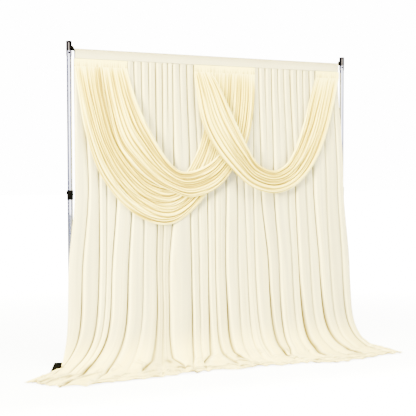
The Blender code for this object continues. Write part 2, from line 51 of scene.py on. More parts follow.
# ---- Room ----
# A white studio floor under a white sky. Big soft lamps stand to both sides of the backdrop, over
# it and behind it. Bright metal reflects the room alone: a white wall to the left, dim ones behind.
class Wire:
    """One socket of a node tree. Sums and products of wires add their Math nodes."""

    def __init__(self, tree, socket=None):
        self.tree, self.socket = tree, socket

    def node(self, kind, settings=None, values=None, output=0):
        """Add a node: its settings go in first, then the values or the wires of its sockets."""
        added = self.tree.nodes.new(kind)
        for name, setting in (settings or {}).items():
            setattr(added, name, setting)
        for name, value in (values or {}).items():
            if isinstance(value, Wire):
                self.tree.links.new(value.socket, added.inputs[name])
            else:
                added.inputs[name].default_value = value
        return Wire(self.tree, added.outputs[output])

    def maths(self, operation, *others):
        values = dict(enumerate((self, *others)))
        return self.node("ShaderNodeMath", {"operation": operation}, values)

    def __add__(self, other):
        return self.maths("ADD", other)

    def __mul__(self, other):
        return self.maths("MULTIPLY", other)

    __radd__, __rmul__ = __add__, __mul__

    def between(self, low, high, start=0.0, end=1.0):
        """This value, spread from low to high on to start to end, and held there beyond them."""
        return self.node("ShaderNodeMapRange", {"interpolation_type": "SMOOTHSTEP"},
                         {0: self, 1: low, 2: high, 3: start, 4: end})

    def tint(self, first, second):
        """The first colour where this value is 0 and the second where it is 1."""
        first, second = ((*c, 1.0) if isinstance(c, tuple) else c for c in (first, second))
        return self.node("ShaderNodeMix", {"data_type": "RGBA"}, {0: self, 6: first, 7: second}, 2)

    def along(self, axis):
        """One of the three numbers of this place."""
        return self.node("ShaderNodeSeparateXYZ", {}, {0: self}, axis)

    def noise(self, scale, detail, roughness=0.5):
        """Noise at this place, stretched where its scale is three numbers."""
        place = self
        if isinstance(scale, tuple):
            place = self.node("ShaderNodeMapping", {}, {"Vector": self, "Scale": scale})
            scale = 1.0
        return self.node("ShaderNodeTexNoise", {}, {
            "Vector": place, "Scale": scale, "Detail": detail, "Roughness": roughness}, "Fac")

    def painted(self, name):
        """A value that a mesh carries on its corners."""
        return self.node("ShaderNodeAttribute", {"attribute_name": name}, output="Fac")

    def feed(self, socket):
        self.tree.links.new(self.socket, socket)


FLOOR_SIZE, FLOOR_LEVEL = 120.0, -0.0002
SKY_SEEN, FLOOR_NEAR, FLOOR_FRONT, FLOOR_FAR = 19.0, 9.0, 15.0, 18.0
SKY_FRONT, SKY_REAR = (0.80, 0.84, 0.80), (0.22, 0.20, 0.22)
WALL_BEHIND, WALL_RIGHT, WALL_FRONT = (0.12, 0.12, 0.17), (0.34, 0.31, 0.20), (1.60, 1.60, 2.20)
LEFT_WALLS = (
    # the turns over which a wall begins, the turns over which it ends, and its colour
    ((-2.75, -2.55), (-1.75, -1.45), (1.70, 1.70, 2.05)),
    ((-3.10, -2.90), (-2.70, -2.50), (13.0, 13.0, 13.4)),
)

world = bpy.data.worlds.new("white_sky")
bpy.context.scene.world = world
world.use_nodes = True
sky_lit = world.node_tree.nodes["Background"]
sky = Wire(world.node_tree)
direction = sky.node("ShaderNodeTexCoord", output="Generated")
to_side, to_back = direction.along("X"), direction.along("Y")
around = to_side.maths("ARCTAN2", to_back)
walls = around.between(0.30, 0.60).tint(WALL_BEHIND, WALL_RIGHT)
walls = around.maths("ABSOLUTE").between(2.25, 2.60).tint(walls, WALL_FRONT)
for begins, ends, wall in LEFT_WALLS:
    walls = (around.between(*begins) * around.between(*ends, 1.0, 0.0)).tint(walls, wall)
sky.node("ShaderNodeLightPath", output="Is Glossy Ray").tint(
    to_back.between(-0.2, 0.9).tint(SKY_FRONT, SKY_REAR), walls).feed(sky_lit.inputs["Color"])
sky_lit.inputs["Strength"].default_value = 1.0
sky.node("ShaderNodeMixShader", {}, {
    0: sky.node("ShaderNodeLightPath", output="Is Camera Ray"),
    1: Wire(world.node_tree, sky_lit.outputs[0]),
    2: sky.node("ShaderNodeBackground", {}, {"Strength": SKY_SEEN})}).feed(
        world.node_tree.nodes["World Output"].inputs["Surface"])

bpy.ops.object.select_all(action="DESELECT")
bpy.ops.mesh.primitive_plane_add(size=FLOOR_SIZE, location=(0, 0, FLOOR_LEVEL))
floor = bpy.context.object
floor.name = "floor"


def finish(name, colour, roughness, **constants):
    """A Principled material with its constants set; gives it, its shader and the place."""
    material = bpy.data.materials.new(name)
    material.use_nodes = True
    shader = material.node_tree.nodes["Principled BSDF"]
    shader.inputs["Base Color"].default_value = (*colour, 1.0)
    shader.inputs["Roughness"].default_value = roughness
    for socket, value in constants.items():
        name = socket.replace("_", " ").title().replace("Ior", "IOR")
        shader.inputs[name].default_value = value
    return material, shader, Wire(material.node_tree).node("ShaderNodeTexCoord", output="Object")


def vary(shader, colour, roughness=None, bump=None):
    """Feed a shader its colour, its roughness and its bump: strength, distance and height."""
    colour.feed(shader.inputs["Base Color"])
    if roughness:
        roughness.feed(shader.inputs["Roughness"])
    if bump:
        values = dict(zip(("Strength", "Distance", "Height"), bump))
        colour.node("ShaderNodeBump", {}, values).feed(shader.inputs["Normal"])


floor_paint, floor_shader, place = finish("white_floor", (0.55, 0.60, 0.95), 0.9,
                                          specular_ior_level=0.0)
away = place.node("ShaderNodeVectorMath", {"operation": "LENGTH"}, {0: place}, "Value")
floor_light = away.between(2.5, 9.0, FLOOR_NEAR, FLOOR_FAR) + place.along("Y").between(
    -0.7, -1.7, 0.0, FLOOR_FRONT - FLOOR_NEAR)
floor_seen = place.node("ShaderNodeMixShader", {}, {
    0: place.node("ShaderNodeLightPath", output="Is Camera Ray"),
    1: place.node("ShaderNodeEmission", {}, {"Strength": 0.0}),
    2: place.node("ShaderNodeEmission", {}, {"Strength": floor_light})})
place.node("ShaderNodeAddShader", {}, {
    0: Wire(floor_paint.node_tree, floor_shader.outputs[0]), 1: floor_seen}).feed(
        floor_paint.node_tree.nodes["Material Output"].inputs["Surface"])
floor.data.materials.append(floor_paint)


def soft_lamp(name, place, aim, size, watts, colour):
    """A panel of light, turned towards a point, that metal doesn't reflect."""
    lamp = bpy.data.lights.new(name, "AREA")
    lamp.shape = "RECTANGLE"
    lamp.size, lamp.size_y = size
    lamp.energy = watts
    lamp.color = colour
    holder = bpy.data.objects.new(name, lamp)
    bpy.context.scene.collection.objects.link(holder)
    holder.location = place
    to_aim = [a - b for a, b in zip(aim, place)]
    pan = math.atan2(to_aim[0], -to_aim[1])
    tilt = math.atan2(math.hypot(to_aim[0], to_aim[1]), -to_aim[2])
    holder.rotation_euler = (tilt, 0, pan + math.pi)
    holder.visible_glossy = False


soft_lamp("key_lamp", (-9.0, -4.2, 3.6), (0.1, 0.2, 1.5), (2.4, 2.4), 8600, (1.0, 0.86, 0.30))
soft_lamp("fill_lamp", (8.5, -4.5, 3.5), (0.1, 0.2, 1.3), (3.0, 3.0), 2350, (1.0, 0.87, 0.32))
soft_lamp("top_lamp", (0.0, -2.5, 7.5), (0.1, 0.3, 0.0), (5.0, 3.0), 3000, (1.0, 0.90, 0.40))
soft_lamp("rear_lamp", (3.5, 8.0, 3.0), (0.1, 0.3, 1.5), (3.0, 3.0), 2600, (1.0, 0.88, 0.40))

camera_data = bpy.data.cameras.new("camera")
camera_data.lens = 78.2
camera = bpy.data.objects.new("camera", camera_data)
bpy.context.scene.collection.objects.link(camera)
camera.location = (STAND_X - 3.914, STAND_Y - 8.175, 1.846)
camera.rotation_euler = (math.radians(87.63), math.radians(0.14), math.radians(-25.13))
bpy.context.scene.camera = camera


# ---- Base plates ----
# Each foot is a flat 6 mm steel plate with rounded corners, set a little askew, and a turned steel
# pin welded upright in its middle. Both are powder coated satin black, scuffed along the edges.
PLATE_SIZE, PLATE_TURN = (0.36, 0.41, 0.006), math.radians(-21)
PLATE_CORNER, PLATE_EDGE = 0.010, 0.0009
PIN_RADIUS, PIN_FOOT, PIN_TOP, PIN_CHAMFER = 0.0225, 0.003, 0.126, 0.002
WELD_BEAD, WELD_OUT = 0.0028, 0.0006


def start(name, operator, **settings):
    """Add a primitive with nothing else selected, and name it."""
    bpy.ops.object.select_all(action="DESELECT")
    operator(**settings)
    piece = bpy.context.object
    piece.name = piece.data.name = name
    bpy.ops.object.transform_apply(location=True, rotation=True, scale=True)
    return piece


def rod(name, radius, sides, base, axis, low, high, **settings):
    """A round bar along one axis, from low to high beyond a base point."""
    middle = list(base)
    middle[axis] += (low + high) / 2
    turn = ((0, math.pi / 2, 0), (math.pi / 2, 0, 0), (0, 0, 0))[axis]
    return start(name, bpy.ops.mesh.primitive_cylinder_add, vertices=sides, radius=radius,
                 depth=abs(high - low), location=middle, rotation=turn, **settings)


def pick(piece):
    """Select one piece alone."""
    bpy.ops.object.select_all(action="DESELECT")
    piece.select_set(True)
    bpy.context.view_layer.objects.active = piece


def choose(piece, kind, test):
    """Open a piece in edit mode with only the edges or faces selected that pass a test."""
    pick(piece)
    bpy.ops.object.mode_set(mode="EDIT")
    bpy.ops.mesh.select_mode(type=kind)
    bpy.ops.mesh.select_all(action="DESELECT")
    form = bmesh.from_edit_mesh(piece.data)
    for element in {"EDGE": form.edges, "FACE": form.faces}[kind]:
        element.select_set(bool(test(element)))
    form.select_flush_mode()
    bmesh.update_edit_mesh(piece.data)


def leave():
    bpy.ops.object.mode_set(mode="OBJECT")


def leave_closed():
    """Turn all the faces of the open piece outward, and leave it."""
    bpy.ops.mesh.select_all(action="SELECT")
    bpy.ops.mesh.normals_make_consistent(inside=False)
    leave()


def round_off(piece, test, width, steps):
    """Round the edges that pass a test."""
    choose(piece, "EDGE", test)
    bpy.ops.mesh.bevel(offset=width, segments=steps, affect="EDGES")
    leave()


def level_at(*heights, slack=0.0002):
    """A test for an edge that lies wholly at one of these heights."""
    return lambda edge: any(all(abs(corner.co.z - height) < slack for corner in edge.verts)
                            for height in heights)


def runs(axis, length):
    """A test for an edge that runs further than this along an axis."""
    return lambda edge: abs(edge.verts[0].co[axis] - edge.verts[1].co[axis]) > length


def shape_with(piece, kind, **settings):
    """Put a modifier on a piece and apply it."""
    modifier = piece.modifiers.new(kind.lower(), kind)
    for name, value in settings.items():
        setattr(modifier, name, value)
    pick(piece)
    bpy.ops.object.modifier_apply(modifier=modifier.name)


def break_edges(piece, width, steps, degrees):
    """Round every edge that is sharper than this."""
    shape_with(piece, "BEVEL", width=width, segments=steps, limit_method="ANGLE",
               angle_limit=math.radians(degrees))


def cut_with(piece, cutter, operation="DIFFERENCE"):
    """Cut a piece with another shape, or join them, and throw the other shape away."""
    shape_with(piece, "BOOLEAN", operation=operation, object=cutter, solver="EXACT")
    bpy.data.objects.remove(cutter, do_unlink=True)


def smooth(piece, degrees=32):
    pick(piece)
    bpy.ops.object.shade_smooth_by_angle(angle=math.radians(degrees))


def fit(piece, material, node, body="stand"):
    """Give a finished piece its material and body, and hide the CAD node it stands for."""
    piece.data.materials.clear()
    piece.data.materials.append(material)
    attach(piece, body)
    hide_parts(node)


def across_of(node):
    """The middle of a CAD node, and its lowest and highest heights."""
    low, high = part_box(node)
    return (low[0] + high[0]) / 2, (low[1] + high[1]) / 2, low[2], high[2]


steel_coat, shader, place = finish("black_powder_coat", (0.005, 0.005, 0.0055), 0.45,
                                   specular_ior_level=0.0)
grain, scuffs = place.noise(900.0, 2.0), place.noise(14.0, 6.0, 0.7)
worn = place.node("ShaderNodeNewGeometry", output="Pointiness").between(0.52, 0.60) * (
    scuffs.between(0.45, 0.65))
vary(shader, (scuffs.between(0.5, 0.8) * 0.3 + worn).tint(
    (0.003, 0.003, 0.0035), (0.05, 0.047, 0.044)),
     scuffs * 0.22 + 0.36 + grain * 0.06, (0.25, 0.0002, grain))

for side in ("left", "right"):
    x, y, _, _ = across_of("base_" + side)
    plate = start("base_plate_" + side, bpy.ops.mesh.primitive_cube_add, size=1.0,
                  location=(x, y, PLATE_SIZE[2] / 2), rotation=(0, 0, PLATE_TURN), scale=PLATE_SIZE)
    round_off(plate, runs(2, 0.001), PLATE_CORNER, 6)
    round_off(plate, level_at(PLATE_SIZE[2], 0.0), PLATE_EDGE, 2)
    pin = rod("pin", PIN_RADIUS, 64, (x, y, 0), 2, PIN_FOOT, PIN_TOP)
    round_off(pin, level_at(PIN_TOP), PIN_CHAMFER, 3)
    bead = start("bead", bpy.ops.mesh.primitive_torus_add, major_segments=64, minor_segments=12,
                 major_radius=PIN_RADIUS + WELD_OUT, minor_radius=WELD_BEAD,
                 location=(x, y, PLATE_SIZE[2]))
    cut_with(plate, pin, "UNION")
    cut_with(plate, bead, "UNION")
    smooth(plate)
    fit(plate, steel_coat, "base_" + side)

# ---- Upright tubes ----
# Each upright is two drawn aluminium tubes, polished bright: a 51 mm one that drops over the pin,
# and a thinner one that slides in it. The cut ends are broken with a small chamfer.
TUBE_WALL = {"lower_tube": 0.0018, "upper_tube": 0.0016, "crossbar": 0.0016}
TUBE_EDGE = 0.0004


def drawn_tube(node, wall, axis):
    """A round tube with open ends, as long as a CAD node, along X or Z."""
    low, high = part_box(node)
    size = [b - a for a, b in zip(low, high)]
    middle = [(a + b) / 2 for a, b in zip(low, high)]
    half = size[axis] / 2
    piece = rod(node + "_bright", min(size) / 2, 72, middle, axis, -half, half,
                end_fill_type="NOTHING")
    choose(piece, "EDGE", runs(axis, 0.1))
    bpy.ops.mesh.subdivide(number_cuts=7)
    leave()
    shape_with(piece, "SOLIDIFY", thickness=wall, offset=-1.0, use_even_offset=True)
    break_edges(piece, TUBE_EDGE, 2, 50)
    smooth(piece)
    return piece


def polished(name, axis):
    """Bright drawn aluminium: fine lines along the tube, faint smears and a few small scratches."""
    material, shader, place = finish(name, (0.80, 0.81, 0.86), 0.08, metallic=1.0,
                                     specular_tint=(0.15, 0.14, 0.15, 1.0))
    lines = place.noise(tuple(2.0 if number == axis else 420.0 for number in range(3)), 2.0)
    smears = place.noise(9.0, 4.0)
    vary(shader, (lines * 0.5 + smears * 0.5).between(0.3, 0.75).tint(
        (0.86, 0.87, 0.92), (0.70, 0.71, 0.77)),
         lines * 0.05 + smears * 0.10 + 0.05, (0.12, 0.0001, lines))
    return material


upright_metal = polished("polished_upright", 2)
for side in ("left", "right"):
    for part in ("lower_tube", "upper_tube"):
        node = f"{part}_{side}"
        fit(drawn_tube(node, TUBE_WALL[part], 2), upright_metal, node)

# ---- Clamp collars ----
# A glass-filled nylon collar sits over the end of each lower tube, with a boss at the back for the
# clamp screw. It is moulded in satin black, with a shallow groove near each end.
COLLAR_RADIUS, COLLAR_ROUND, COLLAR_GROOVE, GROOVE_IN = 0.030, 0.003, 0.0008, 0.012
BOSS_RADIUS, BOSS_ROOT, BOSS_FACE, BOSS_ROUND = 0.014, 0.0245, 0.040, 0.0015
LOW_BORE, HIGH_BORE, BORE_STEP, BORE_PAST = 0.0257, 0.02355, 1.6303, 0.01
STEM_HOLE, HOLE_ENDS, KNOB_HEIGHT = 0.0043, (0.015, 0.055), 1.641

black_plastic, shader, place = finish("black_nylon", (0.001, 0.001, 0.0012), 0.55,
                                      specular_ior_level=0.02)
moulding, wear = place.noise(1400.0, 2.0), place.noise(60.0, 5.0)
vary(shader, wear.between(0.5, 0.8).tint((0.0006, 0.0006, 0.0007), (0.003, 0.003, 0.0034)),
     wear * 0.2 + 0.42, (0.3, 0.0001, moulding))

for side in ("left", "right"):
    x, y, _, _ = across_of("lower_tube_" + side)
    _, _, collar_low, collar_high = across_of("collar_" + side)
    on_floor, on_knob = (x, y, 0), (x, y, KNOB_HEIGHT)
    collar = rod("clamp_collar_" + side, COLLAR_RADIUS, 72, on_floor, 2, collar_low, collar_high)
    round_off(collar, level_at(collar_low, collar_high), COLLAR_ROUND, 4)
    for groove_height in (collar_low + GROOVE_IN, collar_high - GROOVE_IN):
        cut_with(collar, start("groove", bpy.ops.mesh.primitive_torus_add, major_segments=72,
                               minor_segments=8, major_radius=COLLAR_RADIUS + COLLAR_GROOVE / 2,
                               minor_radius=COLLAR_GROOVE * 1.4, location=(x, y, groove_height)))
    boss = rod("boss", BOSS_RADIUS, 48, on_knob, 1, BOSS_ROOT, BOSS_FACE)
    round_off(boss, lambda edge: all(c.co.y > y + BOSS_FACE - 0.001 for c in edge.verts),
              BOSS_ROUND, 3)
    cut_with(collar, boss, "UNION")
    for radius, top in ((LOW_BORE, BORE_STEP), (HIGH_BORE, collar_high + BORE_PAST)):
        cut_with(collar, rod("bore", radius, 72, on_floor, 2, collar_low - BORE_PAST, top))
    cut_with(collar, rod("hole", STEM_HOLE, 24, on_knob, 1, *HOLE_ENDS))
    smooth(collar)
    fit(collar, black_plastic, "collar_" + side)

# ---- Clamp knobs ----
# Behind each collar a five-lobed nylon knob, moulded on a short steel stem, screws in and presses
# on the inner tube. The scallops between the lobes are rounded for the fingers.
KNOB_REACH, KNOB_FACES, KNOB_ROUND, KNOB_LOBES = 0.0221, (0.0403, 0.0563), 0.0016, 5
SCALLOP_RADIUS, SCALLOP_AWAY, SCALLOP_PAST = 0.0090, 0.0272, 0.012
DISH_RADIUS, DISH_BEHIND = 0.030, 0.0275
STEM_RADIUS, STEM_START, STEM_SUNK = 0.004, 0.02385, 0.004

for side in ("left", "right"):
    x, y, _, _ = across_of("lower_tube_" + side)
    on_knob = (x, y, KNOB_HEIGHT)
    knob = rod("lobed_knob_" + side, KNOB_REACH, 80, on_knob, 1, *KNOB_FACES)
    for lobe in range(KNOB_LOBES):
        turn = math.pi * (2 * lobe + 1) / KNOB_LOBES
        at_gap = (x + SCALLOP_AWAY * math.cos(turn), y, KNOB_HEIGHT - SCALLOP_AWAY * math.sin(turn))
        cut_with(knob, rod("scallop", SCALLOP_RADIUS, 40, at_gap, 1,
                           KNOB_FACES[0] - SCALLOP_PAST, KNOB_FACES[1] + SCALLOP_PAST))
    break_edges(knob, KNOB_ROUND, 3, 40)
    cut_with(knob, start("dish", bpy.ops.mesh.primitive_uv_sphere_add, segments=40, ring_count=20,
                         radius=DISH_RADIUS,
                         location=(x, y + KNOB_FACES[1] + DISH_BEHIND, KNOB_HEIGHT)))
    stem = rod("stem", STEM_RADIUS, 32, on_knob, 1, STEM_START, KNOB_FACES[0] + STEM_SUNK)
    cut_with(knob, stem, "UNION")
    smooth(knob)
    fit(knob, black_plastic, "clamp_knob_" + side, "knob_" + side)

# ---- Heads and rivets ----
# A drawn steel cap closes each upright. Four slots in its wall take the hooks of crossbars, and a
# blued, domed rivet under them holds it on the tube. It is plated dark down to its bright skirt,
# and its front under the roof is painted paler: a painted highlight facing the front left.
HEAD_RADIUS, HEAD_ROUND, HEAD_WALL, HEAD_ROOF = 0.027, 0.006, 0.00345, 0.010
SLOT_WIDTH, SLOT_LOW, SLOT_HIGH, SLOT_ROUND = 0.010, 2.972, 3.034, 0.0012
RIVET_RADIUS, RIVET_THICK, RIVET_SUNK = 0.0105, 0.0048, 0.0018
HIGHLIGHT_TURN, HIGHLIGHT_HALF, SKIRT_TOP = -0.25, 0.47, 2.958

plating, shader, place = finish("dark_plating", (0.01, 0.0085, 0.0065), 0.22, metallic=1.0,
                                specular_tint=(0.02, 0.018, 0.015, 1.0))
stain, polish = place.noise(70.0, 5.0, 0.6), place.noise((60.0, 60.0, 900.0), 2.0)
level = place.along("Z")
# Painted highlight: paler where the head faces the front left under the roof, with a little stain
painted_highlight = place.painted("painted_highlight") * level.between(SLOT_HIGH + 0.003, SLOT_HIGH - 0.005)
plating_and_highlight = (painted_highlight * 0.85 + stain.between(0.35, 0.7) * 0.15).tint(
    (0.006, 0.005, 0.004), (0.16, 0.14, 0.115))
vary(shader, level.between(SKIRT_TOP, SKIRT_TOP - 0.003).tint(plating_and_highlight, (0.80, 0.80, 0.84)),
     stain * 0.18 + polish * 0.08 + 0.10, (0.15, 0.0001, polish))

rivet_finish, shader, place = finish("blued_rivet", (0.003, 0.003, 0.006), 0.35,
                                     specular_ior_level=0.05)
vary(shader, place.noise(400.0, 3.0).between(0.4, 0.7).tint(
    (0.002, 0.002, 0.005), (0.008, 0.008, 0.014)))

for side in ("left", "right"):
    x, y, head_low, head_high = across_of("head_" + side)
    head = rod("slotted_head_" + side, HEAD_RADIUS, 72, (x, y, 0), 2, head_low, head_high)
    round_off(head, level_at(head_high), HEAD_ROUND, 6)
    choose(head, "FACE", lambda face: face.normal.z < -0.9)
    bpy.ops.mesh.inset(thickness=HEAD_WALL)
    bpy.ops.mesh.extrude_region_move(
        TRANSFORM_OT_translate={"value": (0, 0, head_high - head_low - HEAD_ROOF)})
    leave_closed()
    for along in (0, 1):
        size = [SLOT_WIDTH, SLOT_WIDTH, SLOT_HIGH - SLOT_LOW]
        size[along] = 4 * HEAD_RADIUS
        slot = start("slot", bpy.ops.mesh.primitive_cube_add, size=1.0, scale=size,
                     location=(x, y, (SLOT_LOW + SLOT_HIGH) / 2))
        round_off(slot, runs(along, 0.05), SLOT_ROUND, 3)
        cut_with(head, slot)
    smooth(head, 28)
    # How far each corner faces the front left, where the highlight is painted
    turns = [math.atan2(point.co.x - x, -(point.co.y - y)) for point in head.data.vertices]
    head.data.attributes.new("painted_highlight", "FLOAT", "POINT").data.foreach_set(
        "value", [max(0.0, 1 - ((turn - HIGHLIGHT_TURN) / HIGHLIGHT_HALF) ** 2) for turn in turns])
    fit(head, plating, "head_" + side)

    rivet_x, rivet_y, rivet_low, rivet_high = across_of("rivet_" + side)
    outward = math.atan2(rivet_x - x, -(rivet_y - y))
    seat = HEAD_RADIUS - RIVET_SUNK
    rivet = start("domed_rivet_" + side, bpy.ops.mesh.primitive_uv_sphere_add, segments=32,
                  ring_count=16, radius=RIVET_RADIUS, location=(0, 0, 0))
    choose(rivet, "FACE", lambda face: True)
    bpy.ops.mesh.bisect(plane_co=(0, 0, 0), plane_no=(0, 0, 1), use_fill=True, clear_inner=True)
    bpy.ops.mesh.select_all(action="SELECT")
    bpy.ops.transform.resize(value=(1, 1, RIVET_THICK / RIVET_RADIUS))
    leave()
    rivet.rotation_euler = (math.pi / 2, 0, outward)
    rivet.location = (x + seat * math.sin(outward), y - seat * math.cos(outward),
                      (rivet_low + rivet_high) / 2)
    bpy.ops.object.transform_apply(location=True, rotation=True, scale=True)
    smooth(rivet)
    fit(rivet, rivet_finish, "rivet_" + side)

# ---- Crossbar ----
# One drawn aluminium tube, polished bright, spans the two uprights inside the rod pocket, which
# covers all but its two ends.
fit(drawn_tube("crossbar", TUBE_WALL["crossbar"], 0), polished("polished_bar", 0), "crossbar")

# ---- Hooks ----
# A 6 mm steel hook plate is welded to a plug in each end of the bar. Its tail passes a slot of the
# head and drops behind the wall; the edges are broken and the whole is coated black.
HOOK_THICK, HOOK_EDGE = 0.006, 0.0006
PLUG_RADIUS, PLUG_LENGTH, FLANGE_RADIUS, FLANGE_THICK = 0.0171, 0.040, 0.019, 0.003
FLANGE_START = 0.0003
HOOK_OUTLINE = (
    # beyond the end of the bar, above its axis
    (0.0015, -0.012),
    (0.02, -0.004),
    (0.041, 0.0018),
    (0.041, 0.0096),
    (0.0475, 0.0096),
    (0.0475, -0.0007),
    (0.0555, 0.0013),
    (0.0575, 0.0353),
    (0.0505, 0.0433),
    (0.033, 0.0453),
    (0.025, 0.0333),
    (0.014, 0.008),
    (0.0015, 0.012),
)
bar_height = (stand_low[2] + stand_high[2]) / 2
for side, way_out, bar_end in (("left", -1, stand_low[0]), ("right", 1, stand_high[0])):
    hook = start("hook_plate_" + side, bpy.ops.mesh.primitive_circle_add,
                 vertices=len(HOOK_OUTLINE), radius=0.02, fill_type="NGON", location=(0, 0, 0))
    for corner, (beyond, above) in zip(hook.data.vertices, HOOK_OUTLINE):
        corner.co = (bar_end + way_out * beyond, STAND_Y - HOOK_THICK / 2, bar_height + above)
    choose(hook, "FACE", lambda face: True)
    bpy.ops.mesh.extrude_region_move(TRANSFORM_OT_translate={"value": (0, HOOK_THICK, 0)})
    leave_closed()
    break_edges(hook, HOOK_EDGE, 2, 60)
    for radius, root, face in ((PLUG_RADIUS, -PLUG_LENGTH, FLANGE_THICK),
                               (FLANGE_RADIUS, FLANGE_START, FLANGE_THICK)):
        plug = rod("plug", radius, 48, (bar_end, STAND_Y, bar_height), 0, way_out * root,
                   way_out * face)
        cut_with(hook, plug, "UNION")
    smooth(hook)
    fit(hook, steel_coat, "hook_" + side)

# ---- Rod pocket ----
# A strip of the ivory knit is folded over the bar as a pocket, and its two edges are lockstitched
# to the top of the curtain. It lies smooth over the bar, with painted shade along its top.
CLOTH = 0.0014
POCKET_LOW, POCKET_HALF, BAR_REST = 2.890, 0.0178, 0.0201
POCKET_FLAT = (2.89, 0.26)
POCKET_SIDE = (
    # how far in front of the bar's middle, how far above the foot
    (0.0, 0.0016),
    (POCKET_HALF * 0.6, 0.0012),
    (POCKET_HALF, 0.0030),
    (POCKET_HALF + 0.0004, 0.012),
    (POCKET_HALF + 0.0010, 0.035),
)
# How dark the painted shade along the pocket's top is, where it starts and how far it fades in
TOP_SHADE, TOP_SHADE_ABOVE, TOP_SHADE_FADE = 0.5, 2.945, 0.030


def ease(value):
    """0 below 0, 1 above 1, and a smooth step between."""
    value = np.clip(value, 0.0, 1.0)
    return value * value * (3 - 2 * value)


def mix(low, high, share):
    return low + (high - low) * share


def bell(distance, half, power=2):
    """1 in the middle of a line, and a smooth fall to nothing on both sides of it."""
    return np.exp(-(distance / half) ** power)


def fade(field, amount, distance, half, power=2):
    """Lower a field along a line, by the amount in the middle of the line."""
    field *= 1 - amount * bell(distance, half, power)


def sew(name, points, flat, painted_shade=0.0, side=0.0, wall=CLOTH, ring=False):
    """A sheet of cloth through a grid of points, rows of columns. Its UV map is its flat pattern in
    metres; its painted_shade attribute is 1 where shade is painted in the bottom of a fold, and its
    side attribute is 1 where the side colour is painted on the sides of a fold: a painted highlight
    on the ivory knit, a painted golden shade on the cream. In a ring the last row joins the first."""
    rows, columns = points.shape[:2]
    number = np.arange(rows * columns).reshape(rows, columns)
    if ring:
        number = np.vstack([number, number[:1]])
    faces = np.stack([number[:-1, :-1], number[1:, :-1], number[1:, 1:], number[:-1, 1:]], -1)
    mesh = bpy.data.meshes.new(name)
    mesh.from_pydata(points.reshape(-1, 3).tolist(), [], faces.reshape(-1, 4).tolist())
    flat_grid = np.stack(np.meshgrid(np.linspace(0, flat[0], columns),
                                     np.linspace(0, flat[1], rows)), -1).reshape(-1, 2)
    corners = np.empty(len(mesh.loops), dtype=int)
    mesh.loops.foreach_get("vertex_index", corners)
    mesh.uv_layers.new(name="flat_pattern").data.foreach_set("uv", flat_grid[corners].ravel())
    for part, amount in (("painted_shade", painted_shade), ("side", side)):
        amount = np.ascontiguousarray(np.broadcast_to(amount, (rows, columns)), dtype=float)
        mesh.attributes.new(part, "FLOAT", "POINT").data.foreach_set("value", amount.ravel())
    cloth = bpy.data.objects.new(name, mesh)
    bpy.context.scene.collection.objects.link(cloth)
    shape_with(cloth, "SOLIDIFY", thickness=wall, offset=0.0, use_even_offset=True)
    smooth(cloth, 65)
    return cloth


def knit(name, face, painted_side_colour, fold, train_lit_colour):
    """Smooth knitted satin: fine stitches, a soft sheen, and painted shade and light in its folds.
    """
    material, shader, place = finish(
        name, face, 0.62, sheen_weight=0.15, sheen_roughness=0.45, specular_ior_level=0.30,
        sheen_tint=(1.0, 0.94, 0.78, 1.0))
    pattern = place.node("ShaderNodeUVMap", {"uv_map": "flat_pattern"})
    clouds, slubs = place.noise(2.2, 3.0), pattern.noise((160.0, 9.0, 1.0), 2.0)
    plain = (clouds.between(0.35, 0.65) * 0.5 + slubs.between(0.35, 0.65) * 0.35).tint(
        face, tuple(channel * 0.95 for channel in face))
    # Below 0.35 m the colour turns to the train colour: painted light on the cloth lying on the
    # floor
    lying = place.along("Z").between(0.35, 0.05).tint(plain, train_lit_colour)
    stitches, courses = (place.node("ShaderNodeTexWave", {"bands_direction": way}, {
        "Vector": pattern, "Scale": scale, "Distortion": 0.6, "Detail": 1.0}, "Fac")
        for way, scale in (("X", 260.0), ("Y", 300.0)))
    # The side attribute paints the side colour beside folds, and painted_shade the dark fold colour
    # in them
    vary(shader, place.painted("painted_shade").tint(place.painted("side").tint(lying, painted_side_colour), fold),
         slubs * 0.10 + clouds * 0.08 + 0.50, (0.12, 0.0002, stitches * courses + slubs))
    return material


# Its plain colour; the side colour, a painted highlight beside folds; the fold colour, painted
# shade in them; and the train colour, painted light where it lies on the floor
ivory_cloth = knit("ivory_knit", (0.56, 0.545, 0.50), (0.99, 0.955, 0.72), (0.105, 0.075, 0.008),
                   (0.95, 0.86, 0.42))

pocket_low, pocket_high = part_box("rod_pocket")
turns = np.linspace(0, math.pi, 19)
front = np.array(POCKET_SIDE) + (0, POCKET_LOW)
over_bar = np.stack([BAR_REST * np.cos(turns), bar_height + BAR_REST * np.sin(turns)], -1)
pocket_ring = np.concatenate([front, over_bar, front[:0:-1] * (-1, 1)])
forward, up = pocket_ring[:, :1], pocket_ring[:, 1:]
along = np.linspace(pocket_low[0], pocket_high[0], 241)
slack = 0.0009 * np.sin(along * 9.0) + 0.0006 * np.sin(along * 23.0 + 1.0)
hang = ease((bar_height - up) / 0.05)
pocket_points = np.stack(np.broadcast_arrays(along, STAND_Y + forward + hang * slack, up), -1)
# Painted shade along the top, where the pocket curves over the bar
rod_pocket = sew("rod_pocket_cloth", pocket_points, POCKET_FLAT,
                 TOP_SHADE * ease((up - TOP_SHADE_ABOVE) / TOP_SHADE_FADE), ring=True)
fit(rod_pocket, ivory_cloth, "rod_pocket")

